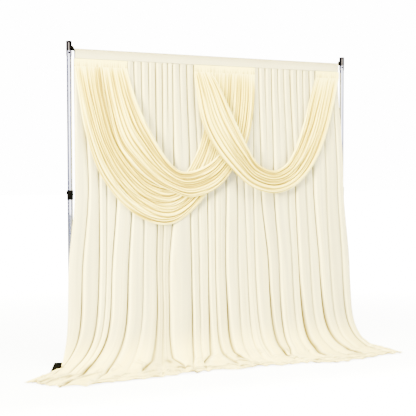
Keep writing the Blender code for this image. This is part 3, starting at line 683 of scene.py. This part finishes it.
# ---- Curtain ----
# One wide sheet of ivory knit, pleated along its heading and sewn to the foot of the pocket. It
# falls in soft vertical folds, turns at the floor, and runs out in front as a train with a hem.
HEADING = POCKET_LOW - 0.0003
WAIST, FOOT, TOE = 1.70, 0.80, 0.05
PLEAT_DEPTH, PLEAT_LINE = 0.028, 0.0055
HANG_BACK, HANG_LEAN, LEAN_POWER = 0.013, -0.070, 1.25
LEAD_START, LEAD_FULL = 2.80, 2.20
SWAY = 0.0038
KNEE, BEND = 0.55, 1.5                                 # how high the cloth turns out, how sharply
SETTLE, SETTLED = 0.022, 0.35
TOE_FOLD, HEM_FOLD = 0.60, 0.30                        # how much of a fold is left on the floor
PLATE_MARGIN, PLATE_SLOPE, EDGE_GAP = 0.03, 0.06, 0.002
FLOOR_GAP, LYING = 0.0003, 0.001                       # the lowest any cloth is, and its middle
CREST_TOP, CREST_TOE, PLEAT_CREST = 6.5, 3.6, 5.0      # how flat a fold's crest is
PINCH, PINCH_HALF = 0.007, 0.006                       # how much deeper a sharp crease is, how wide
LINE_HIGH, LINE_LOW = 0.0062, 0.0140                   # half the width of a crease's painted shade line
GLOW_RIGHT, GLOW_LEFT, GLOW_HALF = 0.009, 0.003, 0.009   # the painted highlight to each side of it
PLEAT_GLOW, PLEAT_GLOW_HALF = 0.0125, 0.008            # and beside a heading pleat's painted shade line
CURTAIN_FLAT = (4.1, 3.65)
# From the heading, 0, to the floor, 1, and the hem, 2: where each run of rows begins and ends, and
# how many rows it has.
ROWS = ((0.0, 0.05, 7), (0.05, 0.74, 25), (0.74, 1.0, 27), (1.0, 2.0, 68))
# The columns of a fold with one and with two heading pleats.
COLUMNS = {1: (0, .035, .08, .15, .26, .40, .55, .70, .82, .90, .95, .98),
           2: (0, .03, .07, .13, .21, .31, .40, .45, .48, .50, .52, .55, .60, .69, .79, .88, .94,
               .98)}
HEM_OUT, HEM_WAVE, HEM_CURL = 0.022, 0.010, 0.014
HEM_CREST, HEM_BAND, HEM_SEAM, HEM_EDGE = 0.013, 0.035, 0.004, 0.011
HEADING_SHADE = 0.18                                   # how much darker the shaded heading is
PLATE_TUCK, TUCK_LEVEL, TUCK_HALF, TUCK_FOLDS = 0.110, 1.066, 0.060, 1.6
SIDE_LINE, SIDE_LINE_HALF = 0.050, 0.008
SIDE_ROLLS = ((0.015, 0.024, 0.014), (0.7 * 0.015, 0.075, 0.015))   # height, way in, half width

# One row for each crease, left to right: where it starts at the heading, crosses the waist and the
# foot, and ends at the hem, across and in front of the crossbar; how deep the fold after it is; how
# wide it curves out to the floor, how far it bows to the right on the way, and how far ahead of the
# others it hangs; the heading pleats of its fold; how sharp it is, how far it turns aside at the
# floor, and how much of the train it crosses.
CREASES = (
    # heading, waist, foot, hem_x, hem_y, depth, sweep, bow, ahead, pleats, sharp, hook, crossing
    (-1.452, -1.458, -1.53, -2.04, -0.43, 0.018, 0.064, -0.03, 0.012, 1, 0.0, 0.0, 1.0),
    (-1.378, -1.325, -1.385, -1.99, -0.5, 0.034, 0.11, -0.07, 0.0, 2, 1.0, 0.0, 0.2),
    (-1.231, -1.218, -1.225, -1.93, -0.58, 0.034, 0.13, -0.06, 0.0, 1, 1.0, 0.0, 1.0),
    (-1.158, -1.145, -1.15, -1.87, -0.65, 0.03, 0.145, -0.06, 0.0, 1, 0.2, 0.0, 0.6),
    (-1.085, -1.045, -1.09, -1.8, -0.715, 0.046, 0.16, -0.06, 0.0, 2, 1.1, 0.0, 1.0),
    (-0.938, -0.89, -0.938, -1.6, -0.8, 0.038, 0.155, -0.04, 0.0, 2, 1.0, 0.0, 0.5),
    (-0.785, -0.77, -0.79, -1.36, -0.765, 0.036, 0.135, -0.02, 0.0, 2, 0.1, 0.0, 0.2),
    (-0.64, -0.635, -0.645, -1.06, -0.745, 0.02, 0.12, 0.0, 0.0, 1, 1.1, -0.08, 0.3),
    (-0.57, -0.568, -0.59, -0.89, -0.765, 0.026, 0.12, 0.0, 0.0, 2, 0.6, 0.0, 0.1),
    (-0.46, -0.45, -0.535, -0.74, -0.735, 0.052, 0.1, 0.0, 0.0, 2, 0.9, 0.12, 0.45),
    (-0.31, -0.295, -0.28, -0.54, -0.735, 0.034, 0.11, 0.0, 0.0, 1, 0.9, -0.02, 0.15),
    (-0.235, -0.205, -0.2, -0.42, -0.72, 0.028, 0.11, 0.0, 0.0, 2, 0.15, 0.0, 0.1),
    (-0.088, -0.095, -0.105, -0.3, -0.71, 0.024, 0.095, 0.0, 0.0, 1, 1.1, -0.13, 0.3),
    (-0.015, -0.018, -0.028, -0.14, -0.765, 0.036, 0.1, 0.0, 0.0, 2, 0.9, 0.08, 0.5),
    (0.13, 0.1, 0.085, 0.01, -0.765, 0.042, 0.1, 0.0, 0.0, 1, 1.2, 0.08, 0.35),
    (0.205, 0.23, 0.215, 0.16, -0.76, 0.028, 0.11, 0.0, 0.0, 1, 0.3, 0.0, 0.1),
    (0.28, 0.315, 0.325, 0.3, -0.8, 0.03, 0.115, 0.0, 0.0, 2, 0.25, 0.0, 0.1),
    (0.425, 0.415, 0.42, 0.42, -0.79, 0.036, 0.12, 0.0, 0.0, 1, 0.5, 0.0, 0.1),
    (0.492, 0.5, 0.575, 0.58, -0.82, 0.042, 0.12, 0.0, 0.0, 2, 1.3, -0.01, 0.3),
    (0.64, 0.655, 0.69, 0.68, -0.855, 0.044, 0.105, 0.0, 0.0, 2, 1.0, -0.07, 0.25),
    (0.785, 0.815, 0.85, 0.84, -0.91, 0.024, 0.12, 0.0, 0.0, 1, 0.25, 0.0, 0.1),
    (0.86, 0.905, 0.93, 0.96, -0.92, 0.042, 0.13, 0.0, 0.0, 2, 1.3, -0.03, 0.4),
    (1.015, 1.035, 1.05, 1.15, -0.885, 0.028, 0.135, 0.02, 0.0, 1, 0.3, 0.0, 0.3),
    (1.09, 1.125, 1.175, 1.28, -0.86, 0.046, 0.135, 0.03, 0.0, 2, 1.3, 0.03, 0.6),
    (1.235, 1.275, 1.3, 1.44, -0.82, 0.036, 0.125, 0.03, 0.005, 2, 0.2, 0.0, 0.4),
    (1.38, 1.425, 1.455, 1.58, -0.84, 0.02, 0.1, 0.05, 0.011, 1, 1.0, 0.0, 0.9),
    (1.452, 1.5, 1.56, 1.69, -0.8, 0.0, 0.07, 0.06, 0.022, 1, 0.0, 0.0, 1.0),
)
# Where the train is rucked: the middle of each ruck across and in front of the crossbar, its turn
# in degrees, its length, half its width, and its height.
RUCKS = (
    (-1.9, -0.46, 38, 0.34, 0.016, 0.016),
    (-1.72, -0.42, 30, 0.4, 0.015, 0.014),
    (-1.66, -0.56, 28, 0.5, 0.016, 0.014),
    (-1.48, -0.47, 32, 0.4, 0.014, 0.013),
    (-1.4, -0.66, 12, 0.42, 0.016, 0.012),
    (-1.22, -0.56, 14, 0.3, 0.014, 0.012),
    (-1.1, -0.66, 2, 0.3, 0.015, 0.011),
    (-0.93, -0.52, 18, 0.26, 0.013, 0.014),
    (-0.84, -0.62, 62, 0.16, 0.012, 0.012),
    (-0.74, -0.58, 84, 0.18, 0.011, 0.014),
    (-0.66, -0.62, -62, 0.15, 0.011, 0.014),
    (-0.57, -0.52, -32, 0.22, 0.013, 0.018),
    (-0.47, -0.62, -8, 0.2, 0.013, 0.014),
    (-0.36, -0.56, 24, 0.2, 0.012, 0.014),
    (-0.22, -0.61, 8, 0.22, 0.014, 0.013),
    (-0.1, -0.58, -36, 0.2, 0.012, 0.017),
    (-0.04, -0.68, 12, 0.16, 0.012, 0.014),
    (0.06, -0.5, -48, 0.2, 0.012, 0.017),
    (0.1, -0.66, 66, 0.12, 0.011, 0.014),
    (0.22, -0.66, -14, 0.26, 0.014, 0.013),
    (0.42, -0.72, 2, 0.3, 0.016, 0.011),
    (0.6, -0.6, -34, 0.24, 0.013, 0.015),
    (0.66, -0.76, -4, 0.26, 0.014, 0.012),
    (0.73, -0.8, 64, 0.09, 0.011, 0.016),
    (0.9, -0.7, -22, 0.3, 0.014, 0.013),
    (1.02, -0.82, -4, 0.3, 0.014, 0.012),
    (1.18, -0.68, -26, 0.32, 0.013, 0.014),
    (1.36, -0.74, -14, 0.34, 0.013, 0.012),
    (1.56, -0.74, -12, 0.26, 0.012, 0.012),
)
# Where it is tucked under and lies in painted shade: the same, and how dark in place of the height.
TUCKS = (
    (-1.6, -0.4, 24, 0.26, 0.024, 0.65),
    (-1.43, -0.3, 40, 0.2, 0.028, 0.85),
    (-1.84, -0.52, 30, 0.2, 0.022, 0.55),
    (-0.935, -0.425, 0, 0.03, 0.03, 0.85),
    (-0.655, -0.34, -50, 0.07, 0.032, 0.85),
    (-0.58, -0.5, -30, 0.12, 0.028, 0.75),
    (-0.42, -0.57, -18, 0.3, 0.024, 0.6),
    (-0.3, -0.61, -10, 0.06, 0.028, 0.75),
    (-0.06, -0.7, -10, 0.04, 0.026, 0.65),
    (0.075, -0.37, -35, 0.05, 0.032, 0.85),
    (0.1, -0.69, -10, 0.04, 0.026, 0.7),
    (0.2, -0.62, -30, 0.22, 0.02, 0.55),
    (0.56, -0.22, -40, 0.1, 0.03, 0.6),
    (0.72, -0.79, -8, 0.05, 0.03, 0.85),
    (0.8, -0.84, -6, 0.1, 0.024, 0.65),
    (1.15, -0.79, -14, 0.18, 0.022, 0.55),
)
FAINT_CREASES, FAINT_DEPTH, SMALL_RUCKS = 300, 0.004, 170
# The folds that lie back, and how much painted shade darkens them.
SUNKEN = {1: 0.06, 7: 0.28, 8: 0.22, 13: 0.14, 18: 0.10, 21: 0.06, 24: 0.10}


def run_out(height, sweep):
    """How far the cloth has run out from its hanging line at a height."""
    return sweep / BEND * np.log((1 + (KNEE / height) ** BEND) / (1 + (KNEE / HEADING) ** BEND))


def run_height(out, sweep):
    """The height at which the cloth has run out so far."""
    return KNEE / ((1 + (KNEE / HEADING) ** BEND) * np.exp(BEND * out / sweep) - 1) ** (1 / BEND)


def lay(x, y, middle_x, middle_y, degrees):
    """How far each point lies along a line at a turn, and how far beside it."""
    cosine, sine = math.cos(math.radians(degrees)), math.sin(math.radians(degrees))
    x, y = x - middle_x, y - middle_y
    return x * cosine + y * sine, y * cosine - x * sine


def resting_height(x, y):
    """The lowest height for the middle of the cloth: over a base plate it lies on the plate."""
    over = np.zeros_like(x)
    for side in ("left", "right"):
        post_x = across_of("base_" + side)[0] - STAND_X
        beyond = np.maximum(*(abs(reach) - size / 2 for reach, size in zip(
            lay(x, y, post_x, 0, math.degrees(PLATE_TURN)), PLATE_SIZE)))
        over = np.maximum(over, 1 - ease((beyond - PLATE_MARGIN) / PLATE_SLOPE))
    return LYING + over * (PLATE_SIZE[2] + EDGE_GAP)


def wander(dice, along, *waves):
    """A slow uneven wave along a cloth, the sum of sines of given turns and sizes."""
    return sum(size * np.sin(2 * math.pi * (turns * along + dice.random()))
               for turns, size in waves)


creases = np.array(CREASES)
folds = len(creases) - 1
run = np.array([fold + step for fold in range(folds) for step in COLUMNS[int(creases[fold, 9])]]
               + [folds])[None, :]
level = np.concatenate([np.linspace(*rows)[:-1] for rows in ROWS[:-1]]
                       + [np.linspace(*ROWS[-1])])[:, None]
number = np.minimum(run.astype(int), folds - 1)
phase = run - number
heading_x, waist, foot, hem_x, hem_y, _, sweep, bow, ahead, _, _, hook, _ = (
    np.interp(run, np.arange(folds + 1), column) for column in creases.T)
depth, pleats = creases[number, 5], creases[number, 9]
cut_dice = np.random.default_rng(11)

# Where the cloth hangs, and where it runs out on the floor.
down = np.minimum(level, 1.0)
height = mix(HEADING, TOE, down) + 0 * run
to_waist = ease((HEADING - height) / (HEADING - WAIST))
to_foot = ease((WAIST - height) / (WAIST - FOOT))
plan_x = mix(mix(heading_x, waist, to_waist), foot, to_foot)
sway = wander(cut_dice, level, (0.7, 1.0), (1.9, 0.6)) * np.sin(run * 1.9 + 0.4) + wander(
    cut_dice, level, (0.9, 0.8), (2.6, 0.4)) * np.sin(run * 0.83 + 2.0)
inside = ease(run / 1.5) * ease((folds - run) / 1.5)
plan_x = plan_x + SWAY * sway * inside * ease(down / 0.25)
lead = ahead * ease((LEAD_START - height) / (LEAD_START - LEAD_FULL))
plan_y = HANG_BACK + HANG_LEAN * down ** LEAN_POWER - lead
foot_y = HANG_BACK + HANG_LEAN - ahead
length = np.hypot(hem_x - foot, hem_y - foot_y)
way_x, way_y = (hem_x - foot) / length, (hem_y - foot_y) / length
hem_wave = wander(cut_dice, run, (0.31, 1.0), (0.83, 0.7), (1.9, 0.35)) * HEM_WAVE * ease(
    (level - 1.5) / 0.5)
out = np.where(level <= 1.0, run_out(height, sweep),
               mix(run_out(TOE, sweep), length + HEM_OUT, level - 1) + hem_wave)
height = np.where(level <= 1.0, height,
                  run_height(out, sweep) - SETTLE * ease((level - 1) / SETTLED))
flare = ease((KNEE - height) / KNEE)
swing = flare ** 3 * bow * np.sin(math.pi * np.sqrt(np.clip(out / length, 0.0, 1.0)))
turned = hook * ease((level - 0.92) / 0.36) * (1 - ease((level - 1.5) / 0.5))
tucked = PLATE_TUCK * bell(level - TUCK_LEVEL, TUCK_HALF) * ease(1 - run / TUCK_FOLDS)
x = plan_x + way_x * out - way_y * swing + turned + tucked
y = plan_y + way_y * out + way_x * swing

# How far the cloth rises in its folds and heading pleats.
share = np.where(level > 1.0, mix(TOE_FOLD, HEM_FOLD, level - 1),
                 mix(to_waist, TOE_FOLD, ease((level - 0.84) / 0.16)))
crest_power = mix(CREST_TOP, CREST_TOE, ease((level - 0.7) / 0.3))
rise = share * depth * (1 - abs(2 * phase - 1) ** crest_power)
pleat_phase = (phase * pleats) % 1.0
rise += (1 - to_waist) * PLEAT_DEPTH * (1 - abs(2 * pleat_phase - 1) ** PLEAT_CREST)

# The creases: plain is lowest in their painted shade lines, and pale in the painted highlights
# beside them.
width = np.diff(mix(creases[:, 1], creases[:, 2], 0.5))[number]
lying_width = np.hypot(np.diff(creases[:, 3]), np.diff(creases[:, 4]))[number]
width_here = mix(width, 0.5 * (width + lying_width), ease((level - 0.9) / 0.6))
to_crease = np.where(phase < 0.5, phase, 1 - phase) * width_here
near = np.where(phase < 0.5, number, number + 1)
sharp, crossed = creases[near, 10], creases[near, 12]
unevenness = 0.8 + 0.2 * np.sin(level * 11.0 + near * 2.3) * np.sin(level * 4.1 + near * 1.1)
hanging = ease((level - 0.005) / 0.03) * (1 - ease((level - 0.95 - crossed) / 0.2))
line = sharp * unevenness * hanging
rise -= PINCH * line * bell(to_crease, PINCH_HALF)
to_pleat = np.minimum(pleat_phase, 1 - pleat_phase) / pleats * width
pleated = ease(1 - 1.5 * to_waist)
line_wide = mix(LINE_HIGH, LINE_LOW * np.maximum(sharp, 1) ** 2, ease((level - 0.72) / 0.28))
sunken_shade = np.vectorize(lambda fold: SUNKEN.get(fold, 0.0))(number) * hanging[:, :1] * ease(
    (level - 0.2) / 0.2) * ease(6 * phase) * ease(6 * (1 - phase))
# Painted shade: the crease lines, the heading pleat lines, the sunken folds and the shaded heading
plain = (1 - np.minimum(line, 1) * bell(to_crease, line_wide)) * (
    1 - 0.6 * (pleated * bell(to_pleat, PLEAT_LINE))) * (1 - sunken_shade) * (
        1 - HEADING_SHADE * (1 - to_waist))
lit = np.where(phase < 0.5, bell(to_crease - line_wide - GLOW_RIGHT, GLOW_HALF),
               0.85 * bell(to_crease - line_wide - GLOW_LEFT, GLOW_HALF))
lit_pleat = np.where(pleat_phase < 0.5, 1.0, 0.6) * bell(
    to_pleat - PLEAT_GLOW, PLEAT_GLOW_HALF)
pale = (1 - mix(0.35, 1.0, np.minimum(sharp, 1)) * lit) * (1 - pleated * lit_pleat)
# Faint creases: a slight groove with a painted shade line and a painted highlight beside it
for _ in range(FAINT_CREASES):
    place, middle = folds * cut_dice.random(), cut_dice.random() * 1.15
    reach = 0.12 + 0.5 * cut_dice.random()
    half, power = 0.0030 + 0.0035 * cut_dice.random(), 0.12 + 0.45 * cut_dice.random() ** 2
    apart = abs(run - place - (0.5 - cut_dice.random()) * 0.4 * (level - middle) - wander(
        cut_dice, level, (1.3, 0.03))) * width_here
    power = power * ease(1.6 * (1 - abs(level - middle) / reach))
    rise -= FAINT_DEPTH * power * bell(apart, half)
    fade(plain, 0.55 * power, apart, half)
    fade(pale, power, apart, 2.4 * half)
# The painted highlights vary in strength across the folds
pale *= 1 - 0.25 * (0.5 + 0.5 * np.sin(run * 9.0 + 1.5 * np.sin(level * 5.0))) * ease(level / 0.3)

# The train: its rucks, tucks, rolled sides and hem, with painted shade and painted highlights.
lying = ease((out / sweep - 1.0) / 2.0)
x += mix(0.0, way_x, flare) * rise * (1 - lying)
y += mix(-1.0, way_y, flare) * rise * (1 - lying)
rucked = np.zeros_like(x)
small = [(-2.0 + 3.7 * cut_dice.random(), -0.30 - 0.55 * cut_dice.random(),
          180 * cut_dice.random(), 0.05 + 0.12 * cut_dice.random(),
          0.009 + 0.006 * cut_dice.random(), 0.003 + 0.005 * cut_dice.random())
         for _ in range(SMALL_RUCKS)]
for ruck_x, ruck_y, turn, ruck_length, half, tall in (*RUCKS, *small):
    through, aside = lay(x, y, ruck_x, ruck_y, turn)
    aside = aside + 1.2 * (through / ruck_length) ** 2 * half
    power = ease(1.5 * (1 - abs(through) / (0.5 * ruck_length))) * lying
    rucked = np.maximum(rucked, tall * power * bell(aside, half))
    # A painted highlight along the crest of each ruck, and painted shade along both its feet
    fade(pale, min(0.9, 60 * tall) * power, aside, 0.8 * half)
    fade(plain, min(0.9, 50 * tall) * power, abs(aside) - 1.2 * half, 0.7 * half)
for tuck_x, tuck_y, turn, tuck_length, half, dark in TUCKS:
    through, aside = lay(x, y, tuck_x, tuck_y, turn)
    # Painted shade over each tuck
    fade(plain, dark * lying * bell(2 * through, tuck_length, 4), aside, half)
from_side = np.minimum(run, folds - run) * np.where(
    run < 2, lying_width[:, :1], lying_width[:, -1:])
for tall, inward, half in SIDE_ROLLS:
    rucked += lying * tall * bell(from_side - inward, half)
# Painted shade along a line inside each rolled side of the train
fade(plain, 0.6 * lying, from_side - SIDE_LINE, SIDE_LINE_HALF)
from_hem = (2 - level) * (length - run_out(TOE, sweep))
rucked += HEM_CURL * bell(from_hem - HEM_CREST, HEM_EDGE) * (
    1 + wander(cut_dice, run, (0.47, 0.6), (1.3, 0.5))) * lying
# Painted shade along the hem's fold, and along its curled edge
fade(plain, 0.7 * lying, from_hem - HEM_BAND, HEM_SEAM)
fade(plain, np.clip(0.65 + wander(cut_dice, run, (0.23, 0.3), (0.9, 0.3)), 0, 1), from_hem,
     HEM_EDGE)
z = np.maximum(height, resting_height(x, y)) + (rise + rucked) * lying
curtain = sew("curtain_cloth", np.stack([x + STAND_X, y + STAND_Y, z], -1), CURTAIN_FLAT,
              1 - plain, 1 - pale)
corners = np.empty(3 * len(curtain.data.vertices))
curtain.data.vertices.foreach_get("co", corners)
corners[2::3] = np.maximum(corners[2::3], FLOOR_GAP)
curtain.data.vertices.foreach_set("co", corners)
fit(curtain, ivory_cloth, "curtain")

# ---- Heading tapes ----
# Three flat bands of the cream knit are sewn across the front, just under the pocket. The gathered
# ends of the swags are stitched to their lower edges; the fine gathers they pull in the bands are
# painted as lines of shade.
# The cream knit: its plain colour, the golden side colour painted beside its folds, the shade
# colour painted in them, and its colour near the floor
cream_cloth = knit("cream_knit", (1.0, 0.95, 0.44), (0.95, 0.765, 0.0), (0.115, 0.070, 0.0),
                   (0.95, 0.88, 0.36))
TAPE_WALL, TAPE_PUFF, TAPE_BACK = 0.0016, 0.0005, 0.0012
TAPE_SIDE = 0.20                                       # how much of the golden side colour the flat of a tape takes
GATHERS, GATHER_LEAN = 150, 0.006                      # their count in a metre, how far they lean
GATHER_DARK, GATHER_PALE = 0.0032, 0.0048              # half the width of their painted shade lines and of the golden shade beside them
tape_dice = np.random.default_rng(17)
for part in ("left", "middle", "right"):
    low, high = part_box("tape_" + part)
    along = np.linspace(low[0], high[0], 281)[None, :]
    up = np.linspace(high[2], low[2], 13)[:, None]
    band = (up - low[2]) / (high[2] - low[2])
    puff = TAPE_PUFF * np.sin(math.pi * band) * (1 + 0.6 * np.sin(along * 61.0))
    tape_points = np.stack(np.broadcast_arrays(along, low[1] + TAPE_BACK - puff, up), -1)
    tape_flat = (high[0] - low[0], high[2] - low[2])
    dark, pale = (np.zeros(tape_points.shape[:2]) for _ in range(2))
    for _ in range(int(GATHERS * tape_flat[0])):
        centre = low[0] + tape_flat[0] * tape_dice.random() + (
            GATHER_LEAN * (tape_dice.random() - 0.5) * band)
        power = (0.15 + 0.55 * tape_dice.random() ** 1.5) * ease(
            1 - band / (0.55 + 0.75 * tape_dice.random()))
        # Each gather is painted: a shade line with a wider painted golden shade beside it
        dark = np.maximum(dark, power * bell(along - centre, GATHER_DARK))
        pale = np.maximum(pale, power * bell(along - centre, GATHER_PALE))
    tape = sew(f"tape_{part}_cloth", tape_points, tape_flat, dark, np.maximum(TAPE_SIDE, pale),
               wall=TAPE_WALL)
    fit(tape, cream_cloth, "tape_" + part)

# ---- Swags ----
# Three bands of cream knit are gathered at both ends and hang in loops from the tapes, one crossing
# over the next. Long uneven pleats and fine drag lines run along them and open at the bottom.
PLEAT_RISE, GATHERED, OPEN_PLEATS = 0.021, 0.03, 0.42
ROLLED_EDGE, ROLL_SHAPE = 0.011, 1.6
# How sharp a crease's groove is, and how wide its painted golden shade and its painted shade line
# are
CREASE_SHAPE, CREASE_GLOW, CREASE_LINE = 1.5, 1.9, 0.93
SWAG_ROWS, COLUMN_STEP, SWAG_OFF = 161, 0.0029, 0.001
# The sections of each swag, from its left tape to its right one.
LOW_SECTIONS = (
    # outer_x, outer_z, inner_x, inner_z, forward
    (-1.455, 2.8205, -1.19, 2.8205, 0.0162),
    (-1.43, 2.59, -1.16, 2.52, 0.04),
    (-1.37, 2.22, -1.06, 2.15, 0.062),
    (-1.25, 1.85, -0.92, 1.94, 0.076),
    (-1.05, 1.565, -0.77, 1.8, 0.082),
    (-0.83, 1.395, -0.63, 1.74, 0.084),
    (-0.62, 1.323, -0.5, 1.735, 0.084),
    (-0.44, 1.35, -0.4, 1.79, 0.084),
    (-0.25, 1.487, -0.325, 1.87, 0.083),
    (-0.07, 1.7, -0.24, 2.02, 0.078),
    (0.07, 2.0, -0.155, 2.24, 0.066),
    (0.16, 2.37, -0.075, 2.54, 0.046),
    (0.217, 2.8205, -0.05, 2.8205, 0.0162),
)
HIGH_SECTIONS = (
    (-1.195, 2.8205, -0.937, 2.8205, 0.018),
    (-1.15, 2.48, -0.885, 2.6, 0.05),
    (-1.065, 2.12, -0.8, 2.37, 0.084),
    (-0.91, 1.91, -0.7, 2.17, 0.099),
    (-0.72, 1.745, -0.58, 1.98, 0.107),
    (-0.51, 1.64, -0.46, 1.86, 0.109),
    (-0.32, 1.583, -0.35, 1.835, 0.109),
    (-0.13, 1.625, -0.21, 1.87, 0.108),
    (0.035, 1.725, -0.07, 1.95, 0.105),
    (0.2, 1.93, 0.045, 2.08, 0.096),
    (0.335, 2.16, 0.13, 2.27, 0.078),
    (0.415, 2.5, 0.185, 2.55, 0.046),
    (0.44, 2.8205, 0.212, 2.8205, 0.018),
)
RIGHT_SECTIONS = (
    (-0.236, 2.8205, -0.045, 2.8205, 0.018),
    (-0.236, 2.64, 0.03, 2.665, 0.062),
    (-0.185, 2.31, 0.125, 2.44, 0.1),
    (-0.05, 2.05, 0.22, 2.23, 0.124),
    (0.14, 1.838, 0.31, 2.06, 0.134),
    (0.34, 1.683, 0.42, 1.91, 0.133),
    (0.59, 1.613, 0.6, 1.845, 0.118),
    (0.81, 1.655, 0.73, 1.89, 0.106),
    (0.985, 1.775, 0.825, 1.99, 0.096),
    (1.13, 1.95, 0.905, 2.15, 0.086),
    (1.25, 2.18, 0.985, 2.34, 0.072),
    (1.345, 2.45, 1.06, 2.56, 0.052),
    (1.452, 2.8205, 1.165, 2.8205, 0.018),
)
# One row for each long crease of a swag: how far it lies across the band, from its outer edge, at
# the left tape, down the left, at the bottom, up the right and at the right tape; how deep it is,
# where 1 reaches the back of the pleats; and half its width in metres.
LOW_CREASES = (
    (0.12, 0.21, 0.06, 0.08, 0.08, 0.45, 0.007),
    (0.17, 0.32, 0.18, 0.15, 0.17, 0.8, 0.008),
    (0.26, 0.39, 0.28, 0.24, 0.25, 1.0, 0.009),
    (0.35, 0.46, 0.36, 0.31, 0.33, 0.6, 0.006),
    (0.44, 0.53, 0.43, 0.38, 0.4, 0.95, 0.008),
    (0.56, 0.61, 0.53, 0.48, 0.5, 0.85, 0.008),
    (0.64, 0.68, 0.61, 0.57, 0.59, 0.7, 0.007),
    (0.73, 0.75, 0.68, 0.69, 0.68, 1.0, 0.009),
    (0.8, 0.81, 0.76, 0.78, 0.77, 0.7, 0.007),
    (0.88, 0.87, 0.84, 0.86, 0.85, 0.95, 0.008),
    (0.95, 0.93, 0.93, 0.93, 0.93, 0.75, 0.007),
)
HIGH_CREASES = (
    (0.11, 0.13, 0.15, 0.1, 0.09, 0.9, 0.008),
    (0.2, 0.21, 0.26, 0.23, 0.22, 0.65, 0.006),
    (0.31, 0.31, 0.38, 0.34, 0.33, 0.95, 0.008),
    (0.4, 0.43, 0.5, 0.46, 0.44, 1.0, 0.009),
    (0.51, 0.54, 0.58, 0.58, 0.56, 0.75, 0.006),
    (0.62, 0.65, 0.67, 0.7, 0.67, 1.0, 0.009),
    (0.72, 0.74, 0.78, 0.8, 0.77, 0.75, 0.007),
    (0.85, 0.84, 0.89, 0.9, 0.87, 1.0, 0.009),
)
RIGHT_CREASES = (
    (0.16, 0.14, 0.19, 0.17, 0.17, 1.0, 0.009),
    (0.3, 0.31, 0.35, 0.3, 0.31, 0.85, 0.008),
    (0.4, 0.42, 0.5, 0.43, 0.42, 0.9, 0.008),
    (0.5, 0.52, 0.58, 0.54, 0.51, 0.55, 0.006),
    (0.6, 0.65, 0.69, 0.66, 0.62, 1.0, 0.009),
    (0.74, 0.76, 0.79, 0.74, 0.73, 0.6, 0.006),
    (0.86, 0.86, 0.89, 0.83, 0.84, 0.95, 0.009),
)
SWAGS = (
    # node, sections, creases, drag lines, seed, flat size, how far forward at the tapes, the tapes
    ("swag_low", LOW_SECTIONS, LOW_CREASES, 190, 3, (0.46, 3.20), 0.0184 - 0.0022,
     ("tape_left_cloth", "tape_middle_cloth")),
    ("swag_high", HIGH_SECTIONS, HIGH_CREASES, 150, 8, (0.36, 2.90), 0.0184,
     ("tape_left_cloth", "tape_middle_cloth")),
    ("swag_right", RIGHT_SECTIONS, RIGHT_CREASES, 130, 5, (0.35, 2.85), 0.0184,
     ("tape_middle_cloth", "tape_right_cloth")),
)


def section_at(sections, along):
    """The smooth curve through a swag's sections, at along from 0 to 1."""
    table = np.array(sections)
    last = len(table) - 1
    number = np.minimum((along * last).astype(int), last - 1)
    t = (along * last - number)[..., None]
    a, b, c, d = (table[np.clip(number + i, 0, last)] for i in (-1, 0, 1, 2))
    curve = 0.5 * (2 * b + (c - a) * t + (2 * a - 5 * b + 4 * c - d) * t ** 2
                   + (3 * b - a - 3 * c + d) * t ** 3)
    return np.moveaxis(curve, -1, 0)


for node, sections, swag_creases, drag_lines, seed, flat, at_tape, tapes in SWAGS:
    dice = np.random.default_rng(seed)
    along = np.linspace(0, 1, SWAG_ROWS)[:, None]
    outer_x, outer_z, inner_x, inner_z, forward = section_at(sections, along)
    band = np.hypot(outer_x - inner_x, outer_z - inner_z)
    across = np.linspace(0, 1, int(band.max() / COLUMN_STEP) + 1)[None, :]
    from_tape = np.minimum(along, 1 - along) * flat[1]
    kept, plain, pale = (np.ones((SWAG_ROWS, across.size)) for _ in range(3))
    for *places, crease_depth, half in swag_creases:
        centre, = section_at([(place,) for place in places], along)
        centre = centre + wander(dice, along, (1.7, 0.008), (4.3, 0.004), (9.1, 0.0015))
        setting_in = 0.07 + 0.16 * dice.random()
        power = crease_depth * ease((from_tape + 0.035) / (setting_in + 0.055)) * (
            0.82 + wander(dice, along, (1.3, 0.13), (3.9, 0.08)))
        apart = abs(across - centre) * band
        fade(kept, np.clip(power, 0, 1), apart, half, CREASE_SHAPE)
        # A painted shade line in the crease, and a wider painted golden shade beside it
        fade(plain, np.clip(power, 0, 1), apart, CREASE_LINE * half)
        fade(pale, np.clip(1.2 * power, 0, 1), apart, CREASE_GLOW * half)
    for _ in range(drag_lines):
        middle, reach, place = dice.random(), 0.05 + 0.17 * dice.random(), dice.random()
        centre = place + (0.5 - dice.random()) * 0.5 * (along - middle) + wander(
            dice, along, (2.3, 0.006))
        power = (0.13 + 0.86 * dice.random() ** 2.4) * ease(
            1.7 * (1 - abs(along - middle) / reach)) * ease((from_tape + 0.04) / 0.10)
        half = 0.0028 + 0.0021 * dice.random()
        apart = abs(across - centre) * band
        fade(kept, power, apart, half, CREASE_SHAPE)
        # A painted shade line in the drag line, and a wider painted golden shade beside it
        fade(plain, power, apart, half)
        fade(pale, np.minimum(1.5 * power, 1), apart, 1.3 * half)
    forward = mix(at_tape, forward, ease((from_tape + 0.02) / 0.16))
    opening = ease((from_tape - GATHERED) / OPEN_PLEATS)
    rolled = 1 - bell(np.minimum(across, 1 - across) * band, ROLLED_EDGE, ROLL_SHAPE)
    crown = 1 - 0.25 * (2 * across - 1) ** 4
    rise = PLEAT_RISE * opening * rolled * crown * kept
    swag_points = np.stack(np.broadcast_arrays(
        STAND_X + mix(outer_x, inner_x, across), STAND_Y - forward - SWAG_OFF - rise,
        mix(outer_z, inner_z, across)), -1)
    swag = sew(node + "_cloth", swag_points, flat, 1 - plain, 1 - pale)
    fit(swag, cream_cloth, node)
